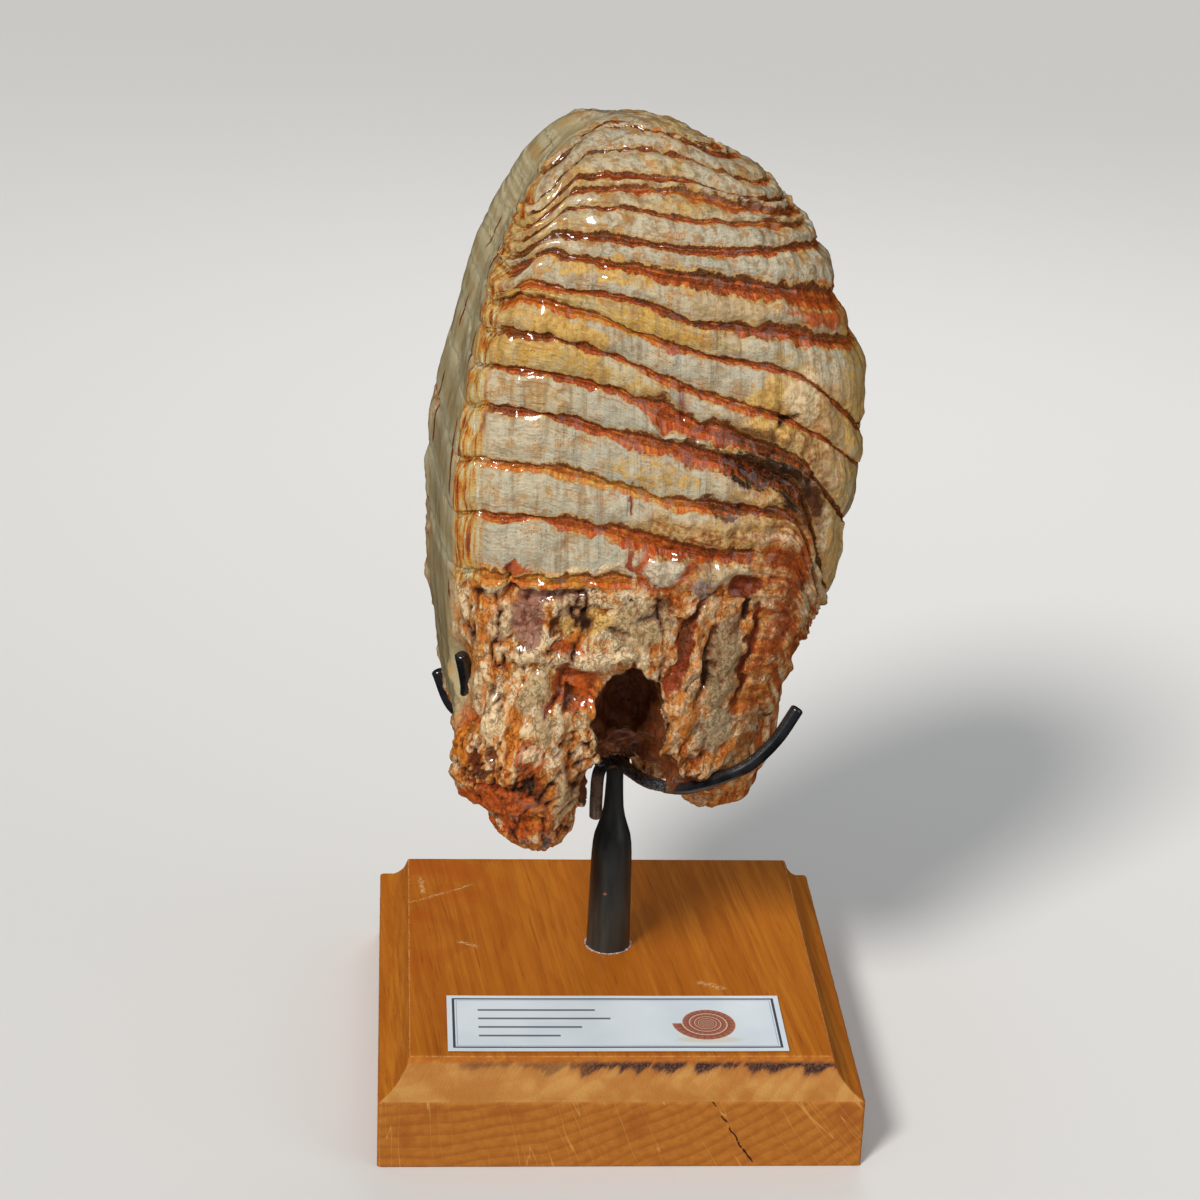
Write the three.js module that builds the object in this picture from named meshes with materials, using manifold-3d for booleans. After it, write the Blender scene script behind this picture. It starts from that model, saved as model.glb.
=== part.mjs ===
// A mammoth molar standing on end in a claw stand.
// Millimetres, +Z up, with the origin at the middle of the block's underside.
import * as THREE from 'three';
import { mergeVertices } from 'three/addons/utils/BufferGeometryUtils.js';
import Module from 'manifold-3d';

const wasm = await Module();
wasm.setup();

// Oak block
const blockWidth = 130;
const blockSideHeight = 19.8;
const blockHeight = 29.2;
const blockTopWidth = 113.9;
const socketDepth = 12;
const coveSteps = [[0.6, 2.2], [2.1, 4.6], [4.6, 7.2]];

// Steel post, which tapers: radius and height of each ring from its foot up
const postY = 5;
const postFootRadius = 6.2;
const postTaper = [[5.95, 45], [5.7, 58], [5.1, 64.6], [3.4, 69.6], [2.6, 76.7], [2.4, 81]];
const postTopHeight = 85.8;
const roundSides = 24;
const touchGap = 0.3;

// Claw rods
const rodRadius = 1.8;
const rodSides = 8;
const rodHeight = postTopHeight + touchGap + rodRadius;
const rodSpacing = 2 * rodRadius + touchGap;

// Card
const cardWidth = 91.4;
const cardDepth = 29;
const cardThickness = 0.4;
const cardFrontGap = 2.2;
const cardMiddleX = -0.7;

// Tooth: its length stands upright, its chewing face looks to -X and its roots to +X
const toothYaw = THREE.MathUtils.degToRad(6.4);
const toothLean = THREE.MathUtils.degToRad(-0.5);
const toothAxis = -6;
const crownTop = 270.5;
const domeStart = 225;
const undersideHeight = 93;
const undersideRings = [{ scale: 0.45, height: 96 }, { scale: 0.8, height: 92.4 }];
const widestHeight = 185;
const toothSides = 44;
const seamDepth = 1.4;
const plateCrown = 0.5;
const rootRidges = [{ count: 11, height: 0.9, twist: 0.6 }, { count: 17, height: 0.54, twist: -0.4 }];

// Seams between the plates from the top down: heights at five distances across the crown, worn side
// first, and how far each falls as it meets the worn face
const seams = [
  { fall: 3, heights: [270, 270.2, 270.2, 268.5, 260] },
  { fall: 5, heights: [269, 269.6, 269.4, 266, 256] },
  { fall: 9, heights: [265, 266.2, 265.6, 260.5, 249] },
  { fall: 10, heights: [262, 261.2, 260.5, 256, 244] },
  { fall: 10, heights: [259, 259, 258, 252.5, 240] },
  { fall: 10, heights: [255.5, 254.5, 252.5, 249, 237] },
  { fall: 9, heights: [250.5, 248, 245.5, 243, 232] },
  { fall: 8, heights: [246, 242, 238.5, 232.5, 222] },
  { fall: 5, heights: [237.5, 234.5, 228.5, 222.5, 213] },
  { fall: 4, heights: [234, 227, 220.5, 212.5, 190] },
  { fall: 2.5, heights: [225.5, 219, 210.5, 200, 180] },
  { fall: 2.5, heights: [216, 210, 201.5, 190.5, 160] },
  { fall: 2.5, heights: [205.5, 199, 194, 182.5, 118] },
  { fall: 3, heights: [191.5, 185.5, 180, 175, 105] },
  { fall: 3.5, heights: [177.5, 173, 167.5, 162.5, 95] },
  { fall: 3, heights: [161, 160.5, 155, 150, 85] },
];
const seamStations = [-28, -8, 8, 36, 60];
const topTilt = { slope: 0.3, from: 240, to: 262 };
const plateRows = [0, 0.2, 0.5, 0.8];
const rootRows = 8;
const topRows = [-0.3, -0.6, -0.85];

// Tooth outline at each height: distance of the left, right, front and back from the tooth's upright
// axis, and how much further left the front left corner stands
const outline = {
  height: [84, 96, 110, 125, 145, 165, 185, 205, 225, 250, 274],
  left: [30, 35.5, 39.5, 41.5, 43.5, 43.5, 42, 37.5, 32, 26, 24],
  right: [40, 43.5, 47.5, 53, 60.5, 65, 68, 66.5, 59.5, 53.5, 43],
  front: [30, 36, 39, 40.5, 41.5, 42, 42, 42, 42, 42, 42],
  back: [32, 37, 40, 41, 42, 42, 42, 42, 42, 42, 42],
  frontLeft: [0, 0, 0, 0, 0, 0, 1.5, 3, 4.5, 6.5, 7],
};

// How square the outline's corners are: 2 is an ellipse
const cornerPower = { right: 2.7, frontLeft: 4.2, backLeft: 7 };

// Root lobes from tip to top: height, middle and half widths of each ring
const roots = {
  frontLeft: [
    [77.6, -22.2, -31, 2, 2],
    [80, -23, -31, 6.5, 7],
    [84.5, -23.5, -31, 11.5, 12],
    [91, -25, -30, 14, 15],
    [96, -27, -29, 17.5, 18],
    [105, -27, -29, 18.5, 20],
    [118, -26.5, -27.5, 18, 19],
    [132, -25, -24, 16, 17],
    [148, -22, -18, 9, 10],
  ],
  right: [
    [81.4, 25, -10, 3, 3],
    [84, 26, -10, 8, 8],
    [91, 27, -10, 11.5, 12],
    [100, 29, -10, 14, 15],
    [114, 30, -8, 14, 17],
  ],
  back: [
    [85, 2, 27, 3, 3],
    [88, 2, 27, 8, 8],
    [95, 2, 26, 12, 11],
    [106, 2, 24, 14, 13],
  ],
};
const rootSides = 14;

// Hollow between the roots: middle and half widths
const hollows = [
  { middle: [4, -38, 114], size: [9, 26, 16] },
  { middle: [3, -34, 97], size: [13, 26, 13] },
];

// Rod routes, tip to tip, in the block's frame
const frontRoute = [
  [-44.3, -28.5, 133.4], [-42.6, -26, 123.5], [-42.6, -19, 114], [-39, -14, 105.5], [-28, -10, 98.5],
  [-15, -4, 94.5], [-7.3, 1, 91.3], [0, postY - rodSpacing / 2, rodHeight], [3.6, -2.5, 87.3],
  [6.5, -9.5, 88.2], [9.5, -16.5, 90.1], [13.5, -22, 91.8], [17.7, -26, 93.9], [26.6, -31, 99.8],
  [32.7, -32, 103.8], [39.3, -31.5, 110.7], [44.8, -30, 119.3],
];
const rearRoute = [
  [-49.5, 27, 104.1], [-44.3, 25.5, 93], [-31, 18, 90], [-13, 10, 89],
  [0, postY + rodSpacing / 2, rodHeight], [13, 11, 89], [29, 17, 92], [42, 23, 97.5], [47.5, 26, 110],
];
const legRoute = [[-4.6, 0.6, 86.8], [-5.3, 0.5, 78], [-5.2, 1, 71.2]];
const rodSteps = 28;
const legSteps = 4;
const rodGap = 0.35;

// Smooth curve through values at rising places that never overshoots them
function curveThrough(places, values, at) {
  const last = places.length - 1;
  const x = THREE.MathUtils.clamp(at, places[0], places[last]);
  let i = 0;
  while (i < last - 1 && places[i + 1] < x) i += 1;
  const rise = (k) => (values[k + 1] - values[k]) / (places[k + 1] - places[k]);
  const slope = (k) => {
    if (k === 0 || k === last) return rise(Math.min(k, last - 1));
    const before = rise(k - 1);
    const after = rise(k);
    return before * after > 0 ? 2 * before * after / (before + after) : 0;
  };
  const step = places[i + 1] - places[i];
  const t = (x - places[i]) / step;
  return (2 * t ** 3 - 3 * t ** 2 + 1) * values[i] + (t ** 3 - 2 * t ** 2 + t) * slope(i) * step
    + (3 * t ** 2 - 2 * t ** 3) * values[i + 1] + (t ** 3 - t ** 2) * slope(i + 1) * step;
}

// The crown closes over its top like a dome
function domeFactor(height) {
  const rise = THREE.MathUtils.clamp((height - domeStart) / (crownTop - domeStart), 0, 1);
  return Math.sqrt(1 - rise ** 2);
}

// Distance of the outline's left side from the axis, at the front corner or elsewhere
function leftReach(height, forward) {
  return curveThrough(outline.height, outline.left, height)
    + forward * curveThrough(outline.height, outline.frontLeft, height);
}

// Distance of the tooth's outline from its axis in a direction, at a height
function outlineRadius(angle, height) {
  const c = Math.cos(angle);
  const s = Math.sin(angle);
  const forward = THREE.MathUtils.smoothstep(-s, -0.3, 0.7);
  const left = s > 0 ? cornerPower.backLeft : cornerPower.frontLeft;
  const power = THREE.MathUtils.lerp(cornerPower.right, left, THREE.MathUtils.smoothstep(-c, -0.4, 0.5));
  const reach = c > 0 ? curveThrough(outline.height, outline.right, height) : leftReach(height, forward);
  const depth = curveThrough(outline.height, outline[s > 0 ? 'back' : 'front'], height);
  const radius = (Math.abs(c / reach) ** power + Math.abs(s / depth) ** power) ** (-1 / power);
  return radius * domeFactor(height);
}

// Height of a seam at a place across and along the crown: it falls where the crown meets the worn
// face, and near the top it slopes down towards the back
function seamHeight(seam, across, y, height) {
  const dome = Math.max(domeFactor(height), 0.1);
  const edge = toothAxis - leftReach(height, 1) * dome;
  const fall = 1 - THREE.MathUtils.smoothstep((across - edge) / dome, 1, seam.fall + 2);
  const reach = curveThrough(outline.height, outline.front, height) * dome;
  const behind = THREE.MathUtils.clamp(1 + y / reach, 0, 1);
  const tilt = topTilt.slope * reach * THREE.MathUtils.smoothstep(height, topTilt.from, topTilt.to);
  const level = curveThrough(seamStations, seam.heights, across);
  return level - seam.fall * dome * fall - tilt * behind * (2 - behind);
}

// Height of any row: seams are whole numbers, and the rows below the last seam level out to the underside
function rowHeight(row, across, y, height) {
  const last = seams.length - 1;
  if (row < 0) return THREE.MathUtils.lerp(seamHeight(seams[0], across, y, height), crownTop, -row);
  if (row >= last) {
    const sink = (row - last) / rootRows;
    const lowSeam = Math.max(seamHeight(seams[last], across, y, height), undersideHeight);
    return THREE.MathUtils.lerp(lowSeam, undersideHeight, sink);
  }
  const i = Math.floor(row);
  const upper = seamHeight(seams[i], across, y, height);
  return THREE.MathUtils.lerp(upper, seamHeight(seams[i + 1], across, y, height), row - i);
}

// Relief: a groove at each seam, a low crown on each plate, and upright ridges on the root side
function relief(row, angle) {
  const last = seams.length - 1;
  const part = row - Math.floor(row);
  if (row <= last) return part === 0 ? -seamDepth : plateCrown * Math.sin(Math.PI * part);
  const [broad, narrow] = rootRidges;
  const ridges = broad.height * Math.sin(broad.count * angle + broad.twist * row)
    + narrow.height * Math.sin(narrow.count * angle + narrow.twist * row);
  return ridges * Math.min(1, (row - last) / 2);
}

// The point in a direction where the outline meets a row
function toothPoint(row, angle) {
  const c = Math.cos(angle);
  const s = Math.sin(angle);
  let height = domeStart;
  for (let i = 0; i < 80; i += 1) {
    const radius = outlineRadius(angle, height);
    height = THREE.MathUtils.lerp(height, rowHeight(row, toothAxis + radius * c, radius * s, height), 0.25);
  }
  height = Math.min(height, crownTop - 0.05);
  const raised = outlineRadius(angle, height) + relief(row, angle) * domeFactor(height - 8);
  const radius = Math.max(raised, 0.5);
  return new THREE.Vector3(toothAxis + radius * c, radius * s, height);
}

// Closed solid through rings of equal length, from the bottom up, with a fan at each end
function solidFromRings(rings, bottom, top) {
  const sides = rings[0].length;
  const points = [...rings.flat(), bottom, top];
  const index = [];
  for (let r = 0; r < rings.length - 1; r += 1) {
    for (let i = 0; i < sides; i += 1) {
      const a = r * sides + i;
      const b = r * sides + (i + 1) % sides;
      index.push(a, b, b + sides, a, b + sides, a + sides);
    }
  }
  const lastRing = (rings.length - 1) * sides;
  for (let i = 0; i < sides; i += 1) {
    const next = (i + 1) % sides;
    index.push(next, i, points.length - 2);
    index.push(lastRing + i, lastRing + next, points.length - 1);
  }
  const geometry = new THREE.BufferGeometry().setFromPoints(points);
  geometry.setIndex(index);
  geometry.computeVertexNormals();
  return geometry;
}

function ring(sides, height, radiusX, radiusY = radiusX, x = 0, y = 0, turn = 0) {
  return Array.from({ length: sides }, (_, i) => {
    const angle = turn + 2 * Math.PI * i / sides;
    return new THREE.Vector3(x + radiusX * Math.cos(angle), y + radiusY * Math.sin(angle), height);
  });
}

function rodGeometry(route, radius, steps = rodSteps) {
  const path = new THREE.CatmullRomCurve3(route.map((p) => new THREE.Vector3(...p)), false, 'centripetal');
  const section = new THREE.Shape(ring(rodSides, 0, radius).map((p) => new THREE.Vector2(p.x, p.y)));
  return new THREE.ExtrudeGeometry(section, { extrudePath: path, steps, bevelEnabled: false });
}

function toSolid(geometry) {
  const bare = geometry.clone();
  bare.deleteAttribute('normal');
  bare.deleteAttribute('uv');
  const merged = mergeVertices(bare, 1e-4);
  return new wasm.Manifold(new wasm.Mesh({
    numProp: 3,
    vertProperties: new Float32Array(merged.attributes.position.array),
    triVerts: new Uint32Array(merged.index.array),
  }));
}

function toGeometry(solid) {
  const mesh = solid.getMesh();
  const geometry = new THREE.BufferGeometry();
  geometry.setAttribute('position', new THREE.BufferAttribute(mesh.vertProperties, 3));
  geometry.setIndex(new THREE.BufferAttribute(mesh.triVerts, 1));
  geometry.computeVertexNormals();
  return geometry;
}

// Directions spaced evenly round the outline at one height
function evenAngles(count, height) {
  const steps = 720;
  const points = Array.from({ length: steps + 1 }, (_, i) => {
    const angle = 2 * Math.PI * i / steps;
    const radius = outlineRadius(angle, height);
    return new THREE.Vector2(radius * Math.cos(angle), radius * Math.sin(angle));
  });
  const lengths = [0];
  for (let i = 1; i <= steps; i += 1) lengths.push(lengths[i - 1] + points[i].distanceTo(points[i - 1]));
  return Array.from({ length: count }, (_, k) => {
    const target = lengths[steps] * k / count;
    return 2 * Math.PI * lengths.findIndex((length) => length >= target) / steps;
  });
}

// Crown and root body, with rows that follow the seams, and an underside that is hollowed a little
function toothBody() {
  const last = seams.length - 1;
  const rows = Array.from({ length: rootRows + 1 }, (_, i) => last + rootRows - i);
  for (let i = last - 1; i >= 0; i -= 1) {
    for (const part of [...plateRows].reverse()) rows.push(i + part);
  }
  rows.push(...topRows);
  const angles = evenAngles(toothSides, widestHeight);
  const rings = rows.map((row) => angles.map((angle) => toothPoint(row, angle)));
  const inner = undersideRings.map(({ scale, height }) => rings[0].map((p) =>
    new THREE.Vector3(toothAxis + (p.x - toothAxis) * scale, p.y * scale, height)));
  const middle = new THREE.Vector3(toothAxis, 0, undersideHeight + 4);
  return solidFromRings([...inner, ...rings], middle, new THREE.Vector3(toothAxis, 0, crownTop));
}

function rootLobe(stations) {
  const rings = stations.map(([height, x, y, radiusX, radiusY], i) =>
    ring(rootSides, height, radiusX, radiusY, x, y).map((p, k) => {
      const lump = 1 + 0.05 * Math.sin(5 * k + 2.3 * i);
      return new THREE.Vector3(x + (p.x - x) * lump, y + (p.y - y) * lump, p.z + 0.8 * Math.sin(3 * k + i));
    }));
  const [bottom] = stations;
  const top = stations[stations.length - 1];
  return solidFromRings(rings, new THREE.Vector3(bottom[1], bottom[2], bottom[0] - 0.4),
    new THREE.Vector3(top[1], top[2], top[0] + 2));
}

function hollow({ middle, size }) {
  const geometry = new THREE.SphereGeometry(1, 12, 8);
  geometry.scale(...size);
  geometry.translate(...middle);
  return geometry;
}

function molarGeometry() {
  const leaning = (geometry) => toSolid(geometry.rotateY(toothLean));
  let solid = leaning(toothBody().rotateZ(toothYaw));
  for (const stations of Object.values(roots)) solid = solid.add(leaning(rootLobe(stations)));
  for (const shape of hollows) solid = solid.subtract(leaning(hollow(shape)));
  for (const route of [frontRoute, rearRoute]) {
    solid = solid.subtract(toSolid(rodGeometry(route, rodRadius + rodGap)));
  }
  return toGeometry(solid);
}

function baseGeometry() {
  const square = (width, height) => {
    const radius = width / Math.SQRT2;
    return ring(4, height, radius, radius, 0, 0, Math.PI / 4);
  };
  const cove = [...coveSteps].reverse()
    .map(([out, down]) => square(blockTopWidth + 2 * out, blockHeight - down));
  const block = solidFromRings(
    [square(blockWidth, 0), square(blockWidth, blockSideHeight), ...cove, square(blockTopWidth, blockHeight)],
    new THREE.Vector3(0, 0, 0), new THREE.Vector3(0, 0, blockHeight));
  const socketRadius = postFootRadius + touchGap;
  const socket = new THREE.CylinderGeometry(socketRadius, socketRadius, 2 * socketDepth, roundSides);
  socket.rotateX(Math.PI / 2);
  socket.translate(0, postY, blockHeight);
  return toGeometry(toSolid(block).subtract(toSolid(socket)));
}

function postGeometry() {
  const foot = blockHeight - socketDepth + touchGap;
  const [neckRadius] = postTaper[postTaper.length - 1];
  const rings = [[0, foot], [postFootRadius, foot], ...postTaper, [neckRadius, postTopHeight], [0, postTopHeight]];
  const profile = rings.map(([radius, height]) => new THREE.Vector2(radius, height));
  return new THREE.LatheGeometry(profile, roundSides).rotateX(Math.PI / 2).translate(0, postY, 0);
}

function labelGeometry() {
  const card = new THREE.BoxGeometry(cardWidth, cardDepth, cardThickness);
  const middleY = -blockTopWidth / 2 + cardFrontGap + cardDepth / 2;
  card.translate(cardMiddleX, middleY, blockHeight + touchGap + cardThickness / 2);
  return card;
}

function material(color, roughness, metalness) {
  return new THREE.MeshStandardMaterial({ color, roughness, metalness });
}

const blackSteel = { color: 0x15171a, roughness: 0.3, metalness: 0.6 };
const pieces = [
  ['molar', molarGeometry(), material(0xc2a97c, 0.35, 0)],
  ['base', baseGeometry(), material(0xb5691f, 0.35, 0)],
  ['post', postGeometry(), material(0x1c1e20, 0.45, 0.6)],
  ['claw_front', rodGeometry(frontRoute, rodRadius), material(...Object.values(blackSteel))],
  ['claw_rear', rodGeometry(rearRoute, rodRadius), material(...Object.values(blackSteel))],
  ['claw_leg', rodGeometry(legRoute, rodRadius, legSteps), material(...Object.values(blackSteel))],
  ['label', labelGeometry(), material(0xe6e9ee, 0.5, 0)],
];

const group = new THREE.Group();
for (const [name, geometry, look] of pieces) {
  const mesh = new THREE.Mesh(geometry, look);
  mesh.name = name;
  group.add(mesh);
}

export default group;
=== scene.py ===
import math
import bpy
import numpy as np
from mathutils import Matrix, Vector, noise


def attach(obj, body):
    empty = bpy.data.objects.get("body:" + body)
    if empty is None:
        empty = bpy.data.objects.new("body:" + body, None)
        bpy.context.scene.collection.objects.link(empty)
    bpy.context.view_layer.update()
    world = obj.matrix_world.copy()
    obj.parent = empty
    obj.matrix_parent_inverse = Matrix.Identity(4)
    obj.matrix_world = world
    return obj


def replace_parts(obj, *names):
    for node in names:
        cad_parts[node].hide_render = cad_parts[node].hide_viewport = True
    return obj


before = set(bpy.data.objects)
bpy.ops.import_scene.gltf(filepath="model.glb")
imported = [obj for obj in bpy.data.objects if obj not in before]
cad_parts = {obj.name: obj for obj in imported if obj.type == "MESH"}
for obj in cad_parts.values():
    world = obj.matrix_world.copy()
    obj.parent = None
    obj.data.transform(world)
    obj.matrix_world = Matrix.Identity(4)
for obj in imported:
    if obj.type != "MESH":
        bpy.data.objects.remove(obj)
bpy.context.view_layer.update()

mm = 0.001


# Camera, floor and lights

view = {
    "place": (-64.2, -760.7, 454.2),     # mm
    "yaw": 4.343, "down": 22.565, "roll": 2.235,     # degrees
    "lens": 91.87, "sensor": 36, "nearest": 10,     # mm
}
ground = {"size": 9, "colour": (0.66, 0.65, 0.63), "roughness": 0.9}     # m
sun = {"from": (-560, -760, 820), "spread": 14, "strength": 2.9, "colour": (1, 0.97, 0.93)}
lamps = [
    {"name": "fill", "place": (700, -500, 420), "aim": (0, 0, 140), "size": 700, "watts": 1.5,
     "colour": (0.93, 0.96, 1), "mirrored": True},
    {"name": "back", "place": (150, 700, 700), "aim": (0, 0, 170), "size": 500, "watts": 2,
     "colour": (1, 1, 1), "mirrored": False},
]     # mm
studio = {"strength": 0.34, "colour": (0.9, 0.95, 1)}


def makeCamera():
    yaw, down, roll = (math.radians(view[key]) for key in ("yaw", "down", "roll"))
    ahead = Vector((math.sin(yaw) * math.cos(down), math.cos(yaw) * math.cos(down), -math.sin(down)))
    level = Vector((math.cos(yaw), -math.sin(yaw), 0))
    upright = level.cross(ahead)
    right = level * math.cos(roll) + upright * math.sin(roll)
    up = upright * math.cos(roll) - level * math.sin(roll)
    data = bpy.data.cameras.new("camera")
    data.lens = view["lens"]
    data.sensor_width = view["sensor"]
    data.clip_start = view["nearest"] * mm
    camera = bpy.data.objects.new("camera", data)
    turn = Matrix((right, up, -ahead)).transposed().to_4x4()
    camera.matrix_world = Matrix.Translation(Vector(view["place"]) * mm) @ turn
    bpy.context.collection.objects.link(camera)
    bpy.context.scene.camera = camera


def makeKey():     # far away, so that it lights the whole floor evenly
    data = bpy.data.lights.new("key", "SUN")
    data.angle = math.radians(sun["spread"])
    data.energy = sun["strength"]
    data.color = sun["colour"]
    lamp = bpy.data.objects.new("key", data)
    lamp.rotation_euler = (-Vector(sun["from"])).to_track_quat("-Z", "Y").to_euler()
    bpy.context.collection.objects.link(lamp)


def makeLamp(facts):
    data = bpy.data.lights.new(facts["name"], "AREA")
    data.shape = "DISK"
    data.size = facts["size"] * mm
    data.energy = facts["watts"]
    data.color = facts["colour"]
    lamp = bpy.data.objects.new(facts["name"], data)
    lamp.location = Vector(facts["place"]) * mm
    aim = (Vector(facts["aim"]) - Vector(facts["place"])) * mm
    lamp.rotation_euler = aim.to_track_quat("-Z", "Y").to_euler()
    lamp.visible_glossy = facts["mirrored"]
    bpy.context.collection.objects.link(lamp)


def makeFloor():
    half = ground["size"] / 2
    mesh = bpy.data.meshes.new("floor")
    corners = [(-half, -half, 0), (half, -half, 0), (half, half, 0), (-half, half, 0)]
    mesh.from_pydata(corners, [], [(0, 1, 2, 3)])
    floor = bpy.data.objects.new("floor", mesh)
    bpy.context.collection.objects.link(floor)
    paint = bpy.data.materials.new("floorPaper")
    paint.use_nodes = True
    shader = paint.node_tree.nodes["Principled BSDF"]
    shader.inputs["Base Color"].default_value = (*ground["colour"], 1)
    shader.inputs["Roughness"].default_value = ground["roughness"]
    mesh.materials.append(paint)
    floor.visible_glossy = False     # the varnish mirrors the lights alone


def makeWorld():
    world = bpy.data.worlds.new("studio")
    world.use_nodes = True
    background = world.node_tree.nodes["Background"]
    background.inputs["Color"].default_value = (*studio["colour"], 1)
    background.inputs["Strength"].default_value = studio["strength"]
    bpy.context.scene.world = world
    world.cycles_visibility.glossy = False
    bpy.context.scene.view_settings.view_transform = "Standard"


makeCamera()
makeFloor()
makeWorld()
makeKey()
for facts in lamps:
    makeLamp(facts)
print("camera, floor and lights are set")


# Node trees written as sums

class Value:     # a node's socket that can be reckoned with

    def __init__(self, nodes, socket):
        self.nodes = nodes
        self.socket = socket

    def sum(self, operation, *others):
        return self.nodes.sum(operation, self, *others)

    def __add__(self, other):
        return self.nodes.sum("ADD", self, other)

    def __radd__(self, other):
        return self.nodes.sum("ADD", other, self)

    def __sub__(self, other):
        return self.nodes.sum("SUBTRACT", self, other)

    def __rsub__(self, other):
        return self.nodes.sum("SUBTRACT", other, self)

    def __mul__(self, other):
        return self.nodes.sum("MULTIPLY", self, other)

    def __rmul__(self, other):
        return self.nodes.sum("MULTIPLY", other, self)

    def __truediv__(self, other):
        return self.nodes.sum("DIVIDE", self, other)

    def __pow__(self, other):
        return self.nodes.sum("POWER", self, other)

    def __abs__(self):
        return self.nodes.sum("ABSOLUTE", self)

    def most(self, other):
        return self.nodes.sum("MAXIMUM", self, other)

    def least(self, other):
        return self.nodes.sum("MINIMUM", self, other)

    def step(self, low, high):     # 0 below low, 1 above high, smooth between
        settings = {"interpolation_type": "SMOOTHSTEP"}
        return self.nodes.add("ShaderNodeMapRange", settings,
                              {"Value": self, "From Min": low, "From Max": high})


class Nodes:     # adds nodes to one tree

    def __init__(self, tree):
        self.tree = tree

    def add(self, kind, settings=None, inputs=None, output=0):
        node = self.tree.nodes.new(kind)
        for name, setting in (settings or {}).items():
            if name == "stops":
                self.setStops(node.color_ramp, setting)
            else:
                setattr(node, name, setting)
        for name, value in (inputs or {}).items():
            socket = self.find(node.inputs, name)
            if isinstance(value, Value):
                self.tree.links.new(value.socket, socket)
            else:
                socket.default_value = value
        return Value(self, self.find(node.outputs, output))

    def find(self, sockets, name):     # by number, identifier or name
        if isinstance(name, int):
            return sockets[name]
        return next(s for s in sockets if name in (s.identifier, s.name) and s.enabled)

    def setStops(self, ramp, stops):
        while len(ramp.elements) < len(stops):
            ramp.elements.new(0.5)
        for element, (place, colour) in zip(ramp.elements, stops):
            element.position = place
            element.color = (*colour, 1)

    def sum(self, operation, *values):
        return self.add("ShaderNodeMath", {"operation": operation}, dict(enumerate(values)))

    def blend(self, factor, first, second):     # colours
        settings = {"data_type": "RGBA"}
        colours = [c if isinstance(c, Value) else (*c, 1) for c in (first, second)]
        inputs = {"Factor_Float": factor, "A_Color": colours[0], "B_Color": colours[1]}
        return self.add("ShaderNodeMix", settings, inputs, "Result_Color")

    def layers(self, colour, coats):     # lays each coat over the colour by its share
        for share, coat in coats:
            colour = self.blend(share, colour, coat)
        return colour

    def ramp(self, factor, stops):
        return self.add("ShaderNodeValToRGB", {"stops": stops}, {"Fac": factor})

    def places(self, source="ShaderNodeTexCoord", output="Object"):     # the point on the object, in mm
        return self.stretch(self.add(source, output=output), (1000, 1000, 1000))

    def stretch(self, vector, factors):
        return self.add("ShaderNodeVectorMath", {"operation": "MULTIPLY"}, {0: vector, 1: factors})

    def shift(self, vector, amount):
        return self.add("ShaderNodeVectorMath", {"operation": "ADD"}, {0: vector, 1: amount})

    def scale(self, vector, amount):
        return self.add("ShaderNodeVectorMath", {"operation": "SCALE"}, {"Vector": vector, "Scale": amount})

    def distance(self, first, second):
        return self.add("ShaderNodeVectorMath", {"operation": "DISTANCE"}, {0: first, 1: second}, "Value")

    def vector(self, x, y=0.0, z=0.0):
        return self.add("ShaderNodeCombineXYZ", None, {0: x, 1: y, 2: z})

    def axes(self, vector):
        split = self.add("ShaderNodeSeparateXYZ", None, {0: vector})
        return [Value(self, socket) for socket in split.socket.node.outputs]

    def noise(self, vector, size, detail=2, rough=0.5):     # 0 to 1, in lumps of the given size
        inputs = {"Vector": vector, "Scale": 1 / size, "Detail": detail, "Roughness": rough}
        return self.add("ShaderNodeTexNoise", None, inputs)

    def cells(self, vector, size):     # distance from scattered points, in parts of the size
        return self.add("ShaderNodeTexVoronoi", None, {"Vector": vector, "Scale": 1 / size}, "Distance")

    def attribute(self, name, output="Fac"):
        return self.add("ShaderNodeAttribute", {"attribute_name": name}, None, output)

    def bump(self, height, distance):     # distance in mm
        inputs = {"Height": height, "Distance": distance * mm, "Strength": 1.0}
        return self.add("ShaderNodeBump", None, inputs)


def newMaterial(name):
    material = bpy.data.materials.new(name)
    material.use_nodes = True
    nodes = Nodes(material.node_tree)
    shader = material.node_tree.nodes["Principled BSDF"]
    return material, nodes, shader


def setShader(nodes, shader, links, settings):
    for name, value in links.items():
        nodes.tree.links.new(value.socket, shader.inputs[name])
    for name, value in settings.items():
        shader.inputs[name].default_value = value


def newPiece(name, mesh, material):
    piece = bpy.data.objects.new(name, mesh)
    bpy.context.collection.objects.link(piece)
    mesh.materials.clear()
    mesh.materials.append(material)
    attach(piece, "root")
    return piece


def toMetres(mesh, turn=Matrix.Identity(4)):     # from mm, and smooth to look at
    mesh.transform(Matrix.Scale(mm, 4) @ turn)
    mesh.polygons.foreach_set("use_smooth", [True] * len(mesh.polygons))


def evaluatedMesh(piece):
    graph = bpy.context.evaluated_depsgraph_get()
    return bpy.data.meshes.new_from_object(piece.evaluated_get(graph), depsgraph=graph)


# Shapes from numbers

def smooth(x, low, high):     # 0 below low, 1 above high
    t = np.clip((x - low) / (high - low), 0, 1)
    return t * t * (3 - 2 * t)


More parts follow.
